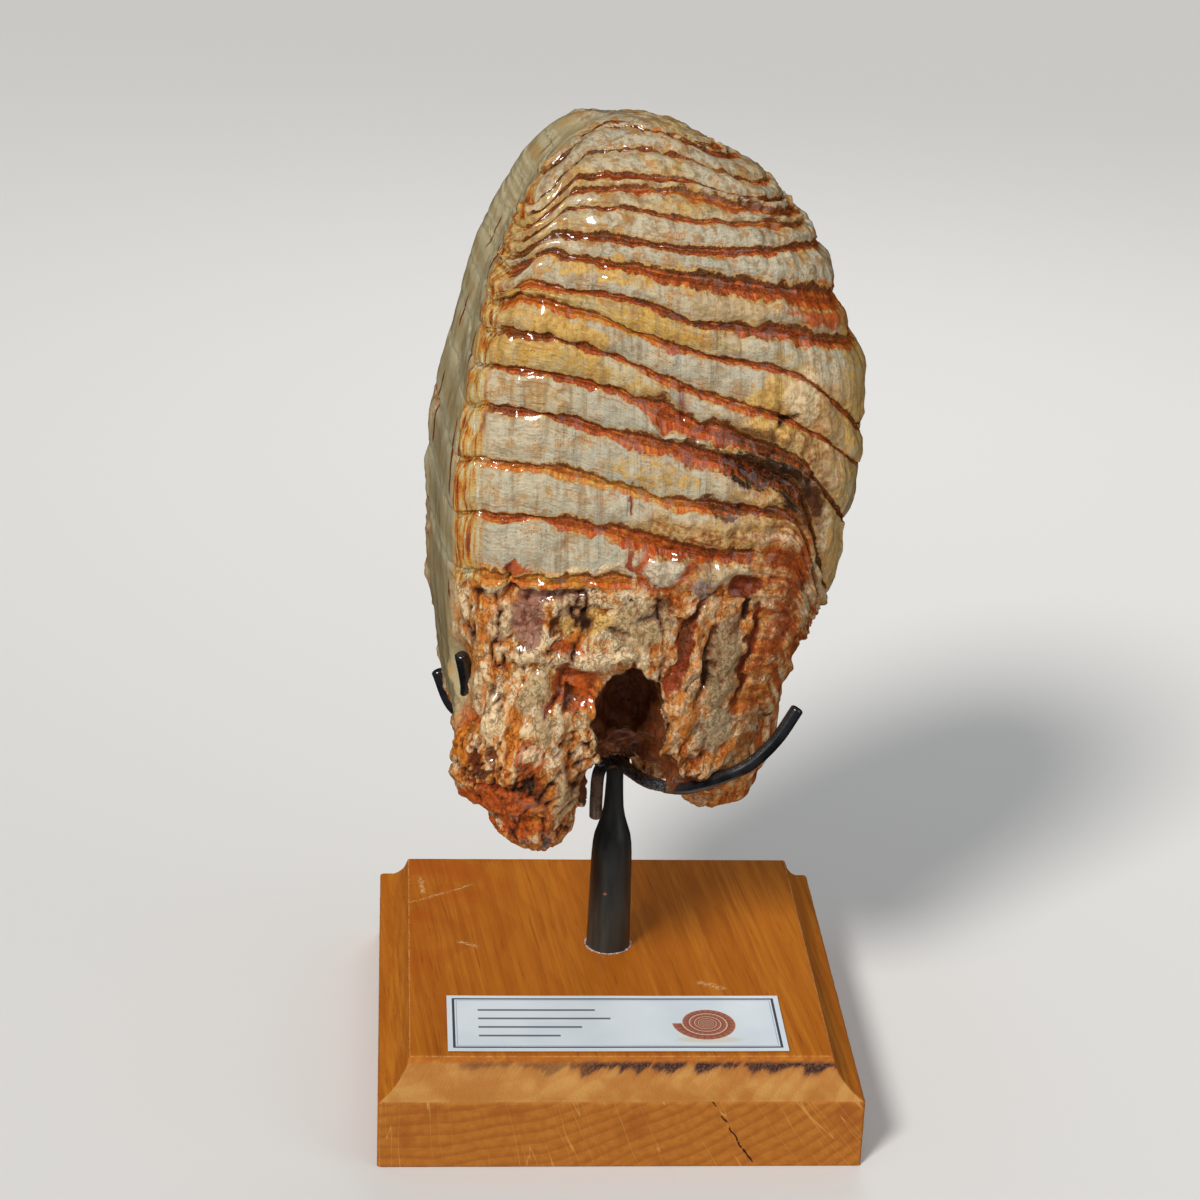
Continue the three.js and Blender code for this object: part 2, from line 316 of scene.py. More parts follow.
def curveThrough(places, values, at):     # a smooth curve through values that never overshoots them
    places = np.asarray(places, float)
    values = np.asarray(values, float)
    rise = np.diff(values) / np.diff(places)
    before, after = rise[:-1], rise[1:]
    total = np.where(before + after == 0, 1, before + after)
    inner = np.where(before * after > 0, 2 * before * after / total, 0)
    slope = np.concatenate([rise[:1], inner, rise[-1:]])
    x = np.clip(at, places[0], places[-1])
    i = np.clip(np.searchsorted(places, x, side="right") - 1, 0, len(places) - 2)
    step = places[i + 1] - places[i]
    t = (x - places[i]) / step
    return ((2 * t ** 3 - 3 * t ** 2 + 1) * values[i] + (t ** 3 - 2 * t ** 2 + t) * slope[i] * step
            + (3 * t ** 2 - 2 * t ** 3) * values[i + 1] + (t ** 3 - t ** 2) * slope[i + 1] * step)


def lumps(points, size, seed=0):     # soft noise from about -1 to 1, with lumps of the given sizes in mm
    scaled = points.reshape(-1, 3) / np.asarray(size, float) + np.array([17.3, -5.1, 9.7]) * (seed + 1)
    values = np.fromiter((noise.noise(p) for p in scaled.tolist()), float, len(scaled))
    return values.reshape(points.shape[:-1]) * 1.6


def chips(points, size, seed=0):     # broken blocks: distance from their edges, and a level for each
    scaled = points.reshape(-1, 3) / np.asarray(size, float) + np.array([3.1, 11.9, -7.7]) * (seed + 1)
    near = [noise.voronoi(p) for p in scaled.tolist()]
    edge = np.array([distances[1] - distances[0] for distances, _ in near])
    nearest = np.array([spots[0] for _, spots in near], float)
    level = nearest @ np.array([7.13, 3.71, 5.37]) % 1
    return edge.reshape(points.shape[:-1]), level.reshape(points.shape[:-1])


def gridMesh(name, grid, attributes, bottomPole, topPole):     # rows run from the top down
    rowCount, columnCount = grid.shape[:2]
    points = np.concatenate([grid.reshape(-1, 3), [topPole, bottomPole]])
    at = np.arange(rowCount * columnCount).reshape(rowCount, columnCount)
    right = np.roll(at, -1, axis=1)
    quads = np.stack([at[1:], right[1:], right[:-1], at[:-1]], -1).reshape(-1, 4)
    top, bottom = len(points) - 2, len(points) - 1
    fans = [(a, b, top) for a, b in zip(at[0].tolist(), right[0].tolist())]
    fans += [(b, a, bottom) for a, b in zip(at[-1].tolist(), right[-1].tolist())]
    mesh = bpy.data.meshes.new(name)
    mesh.from_pydata(points.tolist(), [], quads.tolist() + fans)
    for key, values in attributes.items():
        flat = values.reshape(rowCount * columnCount, -1)
        ends = np.concatenate([flat, flat[:1], flat[-1:]])
        if flat.shape[1] == 3:
            mesh.attributes.new(key, "FLOAT_VECTOR", "POINT").data.foreach_set("vector", ends.ravel())
        else:
            mesh.attributes.new(key, "FLOAT", "POINT").data.foreach_set("value", ends.ravel())
    return mesh


# Oak block: bevelled with a shallow cove all round, and end grain at the front

block = {
    "width": 130, "sideHeight": 19.8, "height": 29.2, "topWidth": 113.9,     # mm, as all below
    "cove": [(0, 0), (0.15, 0.7), (0.7, 2.6), (2.1, 5), (4.6, 7.6), (8.05, 9.4)],     # out and down
    "socketRadius": 6.5, "socketY": 5, "socketDepth": 12, "sideColumns": 90,
    "cornerRound": 0.7, "sideCornerRound": 0.9,
    "pith": (-73, 171), "ringWidth": 3.3, "slant": 0.11,
}
scratches = [
    {"from": (-56, 29), "to": (-38, 40), "width": 0.8}, {"from": (24, -17), "to": (31, -21), "width": 1.6},
    {"from": (-43, 6), "to": (-37, 3), "width": 1.1}, {"from": (-53, 45), "to": (-52, 35), "width": 1.3},
]     # mm


def squareRing(half, height, cornerRound):
    steps = np.sin(np.linspace(-np.pi / 2, np.pi / 2, block["sideColumns"], endpoint=False))
    ring = []
    for along, out in (((1, 0), (0, -1)), ((0, 1), (1, 0)), ((-1, 0), (0, 1)), ((0, -1), (-1, 0))):
        ring.append(half * (steps[:, None] * np.array(along, float) + np.array(out, float)))
    ring = np.concatenate(ring)
    inner = np.clip(ring, cornerRound - half, half - cornerRound)
    far = ring - inner
    ring = inner + cornerRound * far / np.maximum(np.linalg.norm(far, axis=1, keepdims=True), 1e-9)
    return np.concatenate([ring, np.full((len(ring), 1), float(height))], axis=1)


def makeBase(material):
    half, top, side = block["topWidth"] / 2, block["height"], block["width"] / 2
    corner, sideCorner, low = block["cornerRound"], block["sideCornerRound"], block["sideHeight"]
    hole, foot = block["socketRadius"], block["height"] - block["socketDepth"]
    edge = squareRing(half - 0.8, top, corner)
    turn = np.arctan2(edge[:, 1], edge[:, 0])
    circle = np.stack([hole * np.cos(turn), hole * np.sin(turn), 0 * turn + top], -1)
    aside = np.array([0, block["socketY"], 0.0])
    rows = [circle * (part, part, 0) + aside + (0, 0, foot) for part in (0.5, 1)]
    rows += [circle * (1, 1, 0) + aside + (0, 0, height) for height in np.linspace(foot + 1, top - 0.3, 6)]
    rows += [circle * (out, out, 1) + aside for out in (1.03, 1.05, 1.08, 1.14)]
    circle = circle + aside
    rows += [circle + (edge - circle) * part for part in np.linspace(0.06, 1, 24)]
    rows += [squareRing(half - 0.3, top - 0.08, corner), squareRing(half - 0.05, top - 0.3, corner)]
    outs, downs = zip(*block["cove"])
    rows.append(squareRing(half, top - 0.6, corner))
    rows += [squareRing(half + curveThrough(downs, outs, down), top - down, corner)
             for down in np.linspace(1, 9.2, 18)]
    rows.append(squareRing(side - 0.03, low - 0.2, sideCorner))
    rows += [squareRing(side, height, sideCorner) for height in np.linspace(low - 0.6, 0.6, 22)]
    footEdge = ((0.05, 0.25), (0.25, 0.05), (0.6, 0))     # inset and height
    rows += [squareRing(side - inset, height, sideCorner) for inset, height in footEdge]
    rows += [squareRing(side * part, 0, sideCorner * part) for part in np.linspace(0.96, 0.1, 12)]
    grid = np.array(rows)
    uneven = 0.05 * lumps(grid, 6, 41) + 0.05 * lumps(grid, 1.6, 42)
    edgeWear = smooth(np.abs(grid[..., :2]).max(axis=-1), half - 1, half) * (grid[..., 2] > 0.3)
    grid[..., :2] *= 1 - (edgeWear * (0.12 + uneven) / side)[..., None]
    mesh = gridMesh("base", grid, {}, (0, 0, 0), tuple(aside + (0, 0, foot)))
    toMetres(mesh)
    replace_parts(newPiece("oak_block", mesh, material), "base")


def scratchSum(x, y, spread):     # pale marks along short lines on the top
    total = 0.0
    for mark in scratches:
        (ax, ay), (bx, by) = mark["from"], mark["to"]
        length = math.hypot(bx - ax, by - ay)
        dx, dy = (bx - ax) / length, (by - ay) / length
        along = (x - ax) * dx + (y - ay) * dy
        aside = abs((x - ax) * -dy + (y - ay) * dx + (spread - 0.5) * 3)
        near = aside.step(mark["width"], 0) * along.step(-1, 1) * along.step(length + 1, length - 1)
        total = near.most(total)
    return total


def oakFinish():
    material, nodes, shader = newMaterial("varnishedOak")
    point = nodes.places()
    x, y, z = nodes.axes(point)
    bend = nodes.noise(nodes.stretch(point, (1, 0.3, 1)), 26, 2) - 0.5
    ripple = nodes.noise(nodes.stretch(point, (1, 0.12, 1)), 3, 3, 0.6) - 0.5
    across = x + y * block["slant"] + bend * 3 - block["pith"][0]
    above = z - block["pith"][1]
    radius = (across * across + above * above) ** 0.5
    rings = radius / block["ringWidth"] + ripple * 0.25 + nodes.noise(point, 30, 1) * 2
    season = rings.sum("FRACT")
    late = season.step(0.35, 0.85) * season.step(1.0, 0.9)
    slanted = nodes.vector(across, y * 0.025, above)
    pores = nodes.noise(slanted, 0.5, 2, 0.6)
    streaks = nodes.noise(slanted, 2.2, 5, 0.7)
    broad = nodes.noise(slanted, 9, 2)
    rayCells = nodes.vector(nodes.sum("ARCTAN2", above, across) * 170, y * 0.05, radius * 0.05)
    rays = abs(nodes.noise(rayCells, 5, 2) - 0.5).step(0.006, 0.0)
    patches = nodes.noise(point, 14, 3, 0.6)
    fine = nodes.noise(point, 0.6, 2, 0.6)
    ends = (abs(y) - abs(x)).step(-0.15, 0.15) * abs(y).step(57.0, 57.4)     # the two faces of end grain
    cove = ends * z.step(19.7, 20.1)
    top = z.step(29.0, 29.15)

    # painted reflection: a darker, redder patch on the back left of the top
    paintedReflection = (x - y * 0.4).step(-20, -75) * top * patches.step(0.4, 0.6)
    colour = nodes.blend(streaks.step(0.36, 0.64), (0.35, 0.095, 0.004), (0.47, 0.155, 0.010))
    colour = nodes.layers(colour, [
        (broad.step(0.4, 0.6) * 0.5, (0.40, 0.11, 0.005)), (late * 0.2, (0.24, 0.050, 0.003)),
        (pores.step(0.38, 0.30) * 0.5, (0.14, 0.030, 0.003)), (paintedReflection * 0.5, (0.36, 0.06, 0.004)),
    ])
    raw = nodes.blend(patches.step(0.4, 0.62), (0.38, 0.15, 0.025), (0.47, 0.23, 0.055))
    raw = nodes.blend(late * 0.3, raw, (0.38, 0.12, 0.015))
    endColour = nodes.blend(streaks.step(0.36, 0.64), (0.36, 0.115, 0.010), (0.42, 0.145, 0.016))
    endColour = nodes.layers(endColour, [
        (late * 0.4, (0.24, 0.060, 0.006)), (patches.step(0.5, 0.66) * 0.6, (0.27, 0.068, 0.006)),
        (rays * 0.6, (0.58, 0.29, 0.06)), (cove, raw),
    ])

    # Saw marks and scorching on the front cove, a crack in the front, worn edges, scratches and dust
    lean = x - z * 0.7
    sawMarks = nodes.noise(nodes.vector(lean, 0.0, z * 0.08), 0.9, 3, 0.6)
    burnt = nodes.noise(nodes.vector(lean, 0.0, z * 0.25), 5, 3, 0.55)
    reach = z + (burnt - 0.5) * 9 + (fine - 0.5) * 1.6
    scorched = x.step(-50, -38) * ends * z.step(29.18, 29.0) * (0.5 + x.step(-16, -4) * 0.5)
    charred = nodes.blend(fine.step(0.45, 0.62), (0.035, 0.012, 0.008), (0.13, 0.05, 0.025))
    edge = top * (abs(y).most(abs(x))).step(56.2, 56.7) * fine.step(0.4, 0.55)
    crackX = x - 30 - (z - 10) * -0.62 + (nodes.noise(point, 3, 2) - 0.5) * 2.4
    crack = abs(crackX).step(0.35, 0.1) * ends * (1 - cove) * nodes.noise(point, 1.6, 1).step(0.42, 0.52)
    worn = scratchSum(x, y, nodes.noise(point, 2, 2)) * top * fine.step(0.42, 0.6)
    dust = nodes.cells(point, 2.6).step(0.05, 0.02) * patches.step(0.5, 0.6)
    colour = nodes.layers(colour, [
        (ends, endColour), (cove * sawMarks.step(0.42, 0.3) * 0.5, (0.40, 0.15, 0.03)),
        (reach.step(23.6, 26.6) * scorched * 0.6, (0.27, 0.075, 0.014)),
        (reach.step(25.2, 26.4) * scorched * burnt.step(0.36, 0.43), charred),
        (edge * 0.7, (0.66, 0.40, 0.17)), (crack, (0.03, 0.012, 0.01)),
        (worn * 0.75, (0.62, 0.42, 0.20)), (dust * 0.5, (0.62, 0.42, 0.24)),
    ])

    height = (streaks + pores) * 0.5 * (1 - ends * 0.8) + cove * (sawMarks * 1.6 + fine)
    height = height + ends * (fine * 0.7 - late * 0.15) - crack * 3 + nodes.noise(point, 9, 1) * 1.5
    roughness = 0.42 + fine * 0.12 + cove * 0.15 + ends * 0.06 + worn * 0.2
    setShader(nodes, shader, {
        "Base Color": colour, "Roughness": roughness, "Normal": nodes.bump(height, 0.12),
        "Coat Weight": 0.12 - cove * 0.12,
    }, {"IOR": 1.33, "Coat Roughness": 0.12})
    return material


makeBase(oakFinish())
print("oak block is made")


# Steel post, let into the block, with a ring of old glue round its foot

post = {
    "y": 5,
    "profile": [     # radius and height
        (0, 85.8), (2, 85.8), (2.3, 85.6), (2.4, 85.2), (2.4, 81), (2.6, 76.7), (2.85, 72.6), (3.4, 69.6),
        (4.4, 66.4), (5.1, 64.2), (5.5, 61.5), (5.7, 58), (5.95, 45), (6.2, 29.4), (6.2, 17.8), (5.9, 17.5),
        (0, 17.5),
    ],
    "columns": 96, "chip": (-1.9, -0.8, 48),
    "glueRadius": 6.45, "glueWidth": 0.32,
}


def makePost(material):
    radii, heights = zip(*post["profile"])
    lengths = np.concatenate([[0], np.cumsum(np.hypot(np.diff(radii), np.diff(heights)))])
    places = np.concatenate([np.linspace(a, b, max(2, int((b - a) / 0.8)), endpoint=False)
                             for a, b in zip(lengths, lengths[1:])])[1:]
    radius = np.interp(places, lengths, radii)[:, None]
    height = np.interp(places, lengths, heights)[:, None]
    turn = np.linspace(0, 2 * np.pi, post["columns"], endpoint=False)[None, :]
    grid = np.stack([radius * np.cos(turn), radius * np.sin(turn), height + 0 * turn], -1)
    dents = 0.03 * lumps(grid, 5, 51)
    grid[..., :2] *= (1 - 0.005 + dents / 6)[..., None]
    grid[..., 1] += post["y"]
    mesh = gridMesh("post", grid, {}, (0, post["y"], heights[-1]), (0, post["y"], heights[0]))
    toMetres(mesh)
    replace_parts(newPiece("post_rod", mesh, material), "post")


def makeGlue(material):     # an uneven bead that lies on the block
    turn = np.linspace(0, 2 * np.pi, 160, endpoint=False)[:, None]
    around = np.linspace(0, 2 * np.pi, 12, endpoint=False)[None, :]
    circle = np.stack([np.cos(turn), np.sin(turn), 0 * turn], -1) * post["glueRadius"]
    thick = post["glueWidth"] * (1 + 0.5 * lumps(circle, 3, 52) + 0.3 * lumps(circle, 1.2, 53))
    out = post["glueRadius"] + thick * np.cos(around)
    height = block["height"] + 0.1 + 0.6 * thick * np.sin(around)
    grid = np.stack([out * np.cos(turn), post["y"] + out * np.sin(turn), height], -1)
    at = np.arange(grid.shape[0] * grid.shape[1]).reshape(grid.shape[:2])
    quads = np.stack([at, np.roll(at, -1, 0), np.roll(np.roll(at, -1, 0), -1, 1), np.roll(at, -1, 1)], -1)
    mesh = bpy.data.meshes.new("glue")
    mesh.from_pydata(grid.reshape(-1, 3).tolist(), [], quads.reshape(-1, 4).tolist())
    toMetres(mesh)
    newPiece("glue_ring", mesh, material)


def postFinish():
    material, nodes, shader = newMaterial("satinBlack")
    point = nodes.places()
    fine = nodes.noise(point, 0.5, 2)
    patches = nodes.noise(nodes.stretch(point, (1, 1, 0.15)), 2.5, 3)
    chip = (nodes.distance(point, post["chip"]) + (fine - 0.5) * 1.2).step(0.6, 0.4)
    scuffs = nodes.cells(point, 3.1).step(0.07, 0.03)
    colour = nodes.blend(patches.step(0.35, 0.65), (0.016, 0.019, 0.016), (0.030, 0.034, 0.029))
    colour = nodes.layers(colour, [(chip, (0.42, 0.19, 0.14)), (scuffs * 0.4, (0.12, 0.11, 0.10))])
    height = fine * 0.5 + patches - chip * 2
    setShader(nodes, shader, {
        "Base Color": colour, "Roughness": 0.36 + fine * 0.15, "Normal": nodes.bump(height, 0.05),
    }, {"IOR": 1.5, "Coat Weight": 0.15, "Coat Roughness": 0.3})
    return material


def glueFinish():
    material, nodes, shader = newMaterial("oldGlue")
    fine = nodes.noise(nodes.places(), 0.6, 2)
    colour = nodes.blend(fine.step(0.4, 0.6), (0.26, 0.13, 0.09), (0.60, 0.46, 0.42))
    setShader(nodes, shader, {"Base Color": colour, "Normal": nodes.bump(fine, 0.1)}, {"Roughness": 0.45})
    return material


makePost(postFinish())
makeGlue(glueFinish())
print("post is made")


# Claws: rods swept along their routes, and the weld that joins them on the post

rods = {
    "radius": 1.8, "spacing": 0.35, "sides": 26, "endRound": 0.45,
    "front": [
        (-44.3, -28.5, 133.4), (-42.6, -26, 123.5), (-42.6, -19, 114), (-39, -14, 105.5), (-28, -10, 98.5),
        (-15, -4, 94.5), (-7.3, 1, 91.3), (0, 3.05, 87.9), (3.6, -2.5, 87.3), (6.5, -9.5, 88.2),
        (9.5, -16.5, 90.1), (13.5, -22, 91.8), (17.7, -26, 93.9), (26.6, -31, 99.8), (32.7, -32, 103.8),
        (39.3, -31.5, 110.7), (44.8, -30, 119.3),
    ],
    "rear": [
        (-49.5, 27, 104.1), (-44.3, 25.5, 93), (-31, 18, 90), (-13, 10, 89), (0, 6.95, 87.9), (13, 11, 89),
        (29, 17, 92), (42, 23, 97.5), (47.5, 26, 110),
    ],
    "leg": [(-0.6, 3.2, 87.2), (-3, 1.8, 87.6), (-4.7, 0.7, 85.6), (-5.3, 0.5, 78), (-5.2, 1, 71.2)],
    "burntAt": (8, -13, 89), "burntReach": 16, "pitDepth": 0.22, "waviness": 0.06,
}
weld = {
    "route": [(-4.6, 1.4, 88.6), (-2.5, 3.4, 88.9), (0, 5, 88.6), (1.2, 7.2, 88), (2.4, 2.4, 87.9)],
    "spacing": 0.9, "least": 1.3, "most": 2.3, "seed": 4,     # bead radii in mm
}


def routePoints(route, spacing):     # a smooth curve through the places, evenly cut
    places = [Vector(place) for place in route]
    places = [places[0] * 2 - places[1], *places, places[-1] * 2 - places[-2]]
    result = []
    for a, b, c, d in zip(places, places[1:], places[2:], places[3:]):
        knots = [0.0]
        for start, end in ((a, b), (b, c), (c, d)):
            knots.append(knots[-1] + math.sqrt((end - start).length))
        steps = max(2, int((c - b).length / spacing))
        for k in range(steps):
            t = knots[1] + (knots[2] - knots[1]) * k / steps
            low = a.lerp(b, (t - knots[0]) / (knots[1] - knots[0]))
            mid = b.lerp(c, (t - knots[1]) / (knots[2] - knots[1]))
            high = c.lerp(d, (t - knots[2]) / (knots[3] - knots[2]))
            low = low.lerp(mid, (t - knots[0]) / (knots[2] - knots[0]))
            high = mid.lerp(high, (t - knots[1]) / (knots[3] - knots[1]))
            result.append(low.lerp(high, (t - knots[1]) / (knots[2] - knots[1])))
    return [*result, places[-2]]


def newTree(name, inputs):     # a geometry tree with named inputs and its two end nodes
    tree = bpy.data.node_groups.new(name, "GeometryNodeTree")
    tree.interface.new_socket("Geometry", in_out="INPUT", socket_type="NodeSocketGeometry")
    keys = {key: tree.interface.new_socket(key, in_out="INPUT", socket_type=kind).identifier
            for key, kind in inputs.items()}
    tree.interface.new_socket("Geometry", in_out="OUTPUT", socket_type="NodeSocketGeometry")
    start = tree.nodes.new("NodeGroupInput")
    end = tree.nodes.new("NodeGroupOutput")
    nodes = Nodes(tree)
    values = {key: Value(nodes, start.outputs[key]) for key in ["Geometry", *inputs]}
    return tree, nodes, values, keys, end


def finishTree(nodes, geometry, values, end):
    geometry = nodes.add("GeometryNodeSetShadeSmooth", None, {"Geometry": geometry})
    geometry = nodes.add("GeometryNodeRealizeInstances", None, {"Geometry": geometry})
    inputs = {"Geometry": geometry, "Material": values["Material"]}
    geometry = nodes.add("GeometryNodeSetMaterial", None, inputs)
    nodes.tree.links.new(geometry.socket, end.inputs[0])


def treeMesh(name, route, spacing, tree, keys, settings):     # the plain mesh that a tree makes from a route
    points = [place * mm for place in routePoints(route, spacing)]
    mesh = bpy.data.meshes.new(name)
    mesh.from_pydata(points, [(k, k + 1) for k in range(len(points) - 1)], [])
    carrier = bpy.data.objects.new(name, mesh)
    bpy.context.collection.objects.link(carrier)
    modifier = carrier.modifiers.new(name, "NODES")
    modifier.node_group = tree
    for key, value in settings.items():
        modifier[keys[key]] = value
    result = evaluatedMesh(carrier)
    bpy.data.objects.remove(carrier)
    return result


def rodTree():
    inputs = {
        "Radius": "NodeSocketFloat", "End Round": "NodeSocketFloat", "Sides": "NodeSocketInt",
        "Burnt At": "NodeSocketVector", "Burnt Reach": "NodeSocketFloat", "Pit Depth": "NodeSocketFloat",
        "Waviness": "NodeSocketFloat", "Material": "NodeSocketMaterial",
    }
    tree, nodes, values, keys, end = newTree("sweptRod", inputs)
    curve = nodes.add("GeometryNodeMeshToCurve", None, {"Mesh": values["Geometry"]})
    along = nodes.add("GeometryNodeSplineParameter", output="Length")
    length = nodes.add("GeometryNodeSplineLength", output="Length")
    inEnd = 1 - (along.least(length - along) / values["End Round"]).least(1.0)
    scale = 1 - (1 - (1 - inEnd * inEnd).sum("SQRT")) * values["End Round"] / values["Radius"]
    section = nodes.add("GeometryNodeCurvePrimitiveCircle", None, {
        "Resolution": values["Sides"], "Radius": values["Radius"]}, "Curve")
    swept = nodes.add("GeometryNodeCurveToMesh", None, {
        "Curve": curve, "Profile Curve": section, "Scale": scale, "Fill Caps": True})
    place = nodes.places("GeometryNodeInputPosition", 0)
    far = nodes.distance(place, values["Burnt At"])
    burnt = far.step(values["Burnt Reach"], values["Burnt Reach"] * 0.4)
    pits = (nodes.noise(place, 0.9, 2).step(0.5, 0.38) + nodes.noise(place, 2.2, 1).step(0.5, 0.35)) * burnt
    shift = (nodes.noise(place, 9, 1) - 0.5) * values["Waviness"] - pits * values["Pit Depth"]
    normal = nodes.add("GeometryNodeInputNormal")
    offset = nodes.scale(normal, shift * mm)
    moved = nodes.add("GeometryNodeSetPosition", None, {"Geometry": swept, "Offset": offset})
    finishTree(nodes, moved, values, end)
    return tree, keys


def weldTree():
    inputs = {
        "Spacing": "NodeSocketFloat", "Least": "NodeSocketFloat", "Most": "NodeSocketFloat",
        "Seed": "NodeSocketInt", "Material": "NodeSocketMaterial",
    }
    tree, nodes, values, keys, end = newTree("weldBeads", inputs)
    curve = nodes.add("GeometryNodeMeshToCurve", None, {"Mesh": values["Geometry"]})
    cuts = {"Curve": curve, "Length": values["Spacing"]}
    curve = nodes.add("GeometryNodeResampleCurve", {"mode": "LENGTH"}, cuts)
    bead = nodes.add("GeometryNodeMeshIcoSphere", None, {"Radius": mm, "Subdivisions": 5})
    place = nodes.places("GeometryNodeInputPosition", 0)
    normal = nodes.add("GeometryNodeInputNormal")
    shift = (nodes.noise(place, 0.7, 3) - 0.5) * (0.35 * mm)
    offset = nodes.scale(normal, shift)
    bead = nodes.add("GeometryNodeSetPosition", None, {"Geometry": bead, "Offset": offset})
    size = nodes.add("FunctionNodeRandomValue", {"data_type": "FLOAT"}, {
        "Min": values["Least"], "Max": values["Most"], "Seed": values["Seed"]}, "Value")
    turn = nodes.add("FunctionNodeRandomValue", {"data_type": "FLOAT_VECTOR"}, {
        "Max": (6.28, 6.28, 6.28), "Seed": values["Seed"]}, "Value")
    turn = nodes.add("FunctionNodeEulerToRotation", None, {"Euler": turn})
    beads = nodes.add("GeometryNodeInstanceOnPoints", None, {
        "Points": curve, "Instance": bead, "Scale": size, "Rotation": turn})
    finishTree(nodes, beads, values, end)
    return tree, keys


def makeClaws(material):
    tree, keys = rodTree()
    settings = {
        "Radius": rods["radius"] * mm, "End Round": rods["endRound"] * mm, "Sides": rods["sides"],
        "Burnt At": rods["burntAt"], "Burnt Reach": float(rods["burntReach"]), "Pit Depth": rods["pitDepth"],
        "Waviness": rods["waviness"], "Material": material,
    }
    for route in ("front", "rear", "leg"):
        mesh = treeMesh(route, rods[route], rods["spacing"], tree, keys, settings)
        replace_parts(newPiece(f"{route}_rod", mesh, material), "claw_" + route)
    tree, keys = weldTree()
    settings = {
        "Spacing": weld["spacing"] * mm, "Least": weld["least"], "Most": weld["most"], "Seed": weld["seed"],
        "Material": material,
    }
    newPiece("weld_beads", treeMesh("weld", weld["route"], 0.5, tree, keys, settings), material)


def clawFinish():
    material, nodes, shader = newMaterial("glossBlack")
    point = nodes.places()
    fine = nodes.noise(point, 0.45, 3, 0.6)
    patches = nodes.noise(point, 4, 2)
    far = nodes.distance(point, rods["burntAt"]) + (patches - 0.5) * 12
    burnt = far.step(rods["burntReach"], rods["burntReach"] * 0.6)
    x, _, z = nodes.axes(point)
    # painted reflection: the lower leg is tinted brown as if its black gloss mirrored the oak block
    legReflectionMask = x.step(-2.5, -4.4) * x.step(-8, -7) * z.step(87, 83)
    woodReflection = nodes.blend(patches.step(0.4, 0.6), (0.06, 0.035, 0.025), (0.15, 0.085, 0.05))
    scuff = nodes.cells(point, 2.4).step(0.12, 0.04) * patches.step(0.5, 0.6)
    colour = nodes.blend(patches.step(0.4, 0.6), (0.006, 0.007, 0.009), (0.014, 0.015, 0.018))
    colour = nodes.layers(colour, [
        (burnt * fine.step(0.50, 0.62) * 0.8, (0.20, 0.21, 0.23)), (legReflectionMask * 0.8, woodReflection),
        (scuff * 0.4, (0.20, 0.18, 0.17)),
    ])
    height = burnt * fine * 1.5 + nodes.noise(point, 2.5, 2) * 0.4
    setShader(nodes, shader, {
        "Base Color": colour, "Roughness": 0.22 + burnt * 0.2 + fine * 0.1,
        "Normal": nodes.bump(height, 0.14),
    }, {"IOR": 1.52, "Coat Weight": 0.6, "Coat Roughness": 0.06})
    return material


makeClaws(clawFinish())
print("claws are made")


# Tooth: its plates lie across, its chewing face looks to the left and its roots to the right

tooth = {
    "yaw": 6.4, "lean": -0.5,     # degrees
    "axis": -6, "top": 270.4, "domeStart": 225, "underside": 93, "widest": 185,     # mm, as all below
    "columns": 284, "frontDensity": 1.9,
    "rootRows": 62, "topRows": 14, "plateRowHeight": 1.3,
    "undersideRings": 20,
    "topTilt": {"slope": 0.3, "from": 240, "to": 262},     # near the top the seams slope down to the back
}

outline = {
    "height": [84, 96, 110, 125, 145, 165, 185, 205, 225, 250, 274],
    "left": [30, 35.5, 39.5, 41.5, 43.5, 43.5, 42, 37.5, 32, 26, 24],
    "right": [40, 43.5, 47.5, 53, 60.5, 65, 68, 66.5, 59.5, 53.5, 43],
    "front": [30, 36, 39, 40.5, 41.5, 42, 42, 42, 42, 42, 42],
    "back": [32, 37, 40, 41, 42, 42, 42, 42, 42, 42, 42],
    "frontLeft": [0, 0, 0, 0, 0, 0, 1.5, 3, 4.5, 6.5, 7],     # further left at the front
    "corner": {"right": 2.7, "frontLeft": 4.2, "backLeft": 7},     # 2 is an ellipse
}

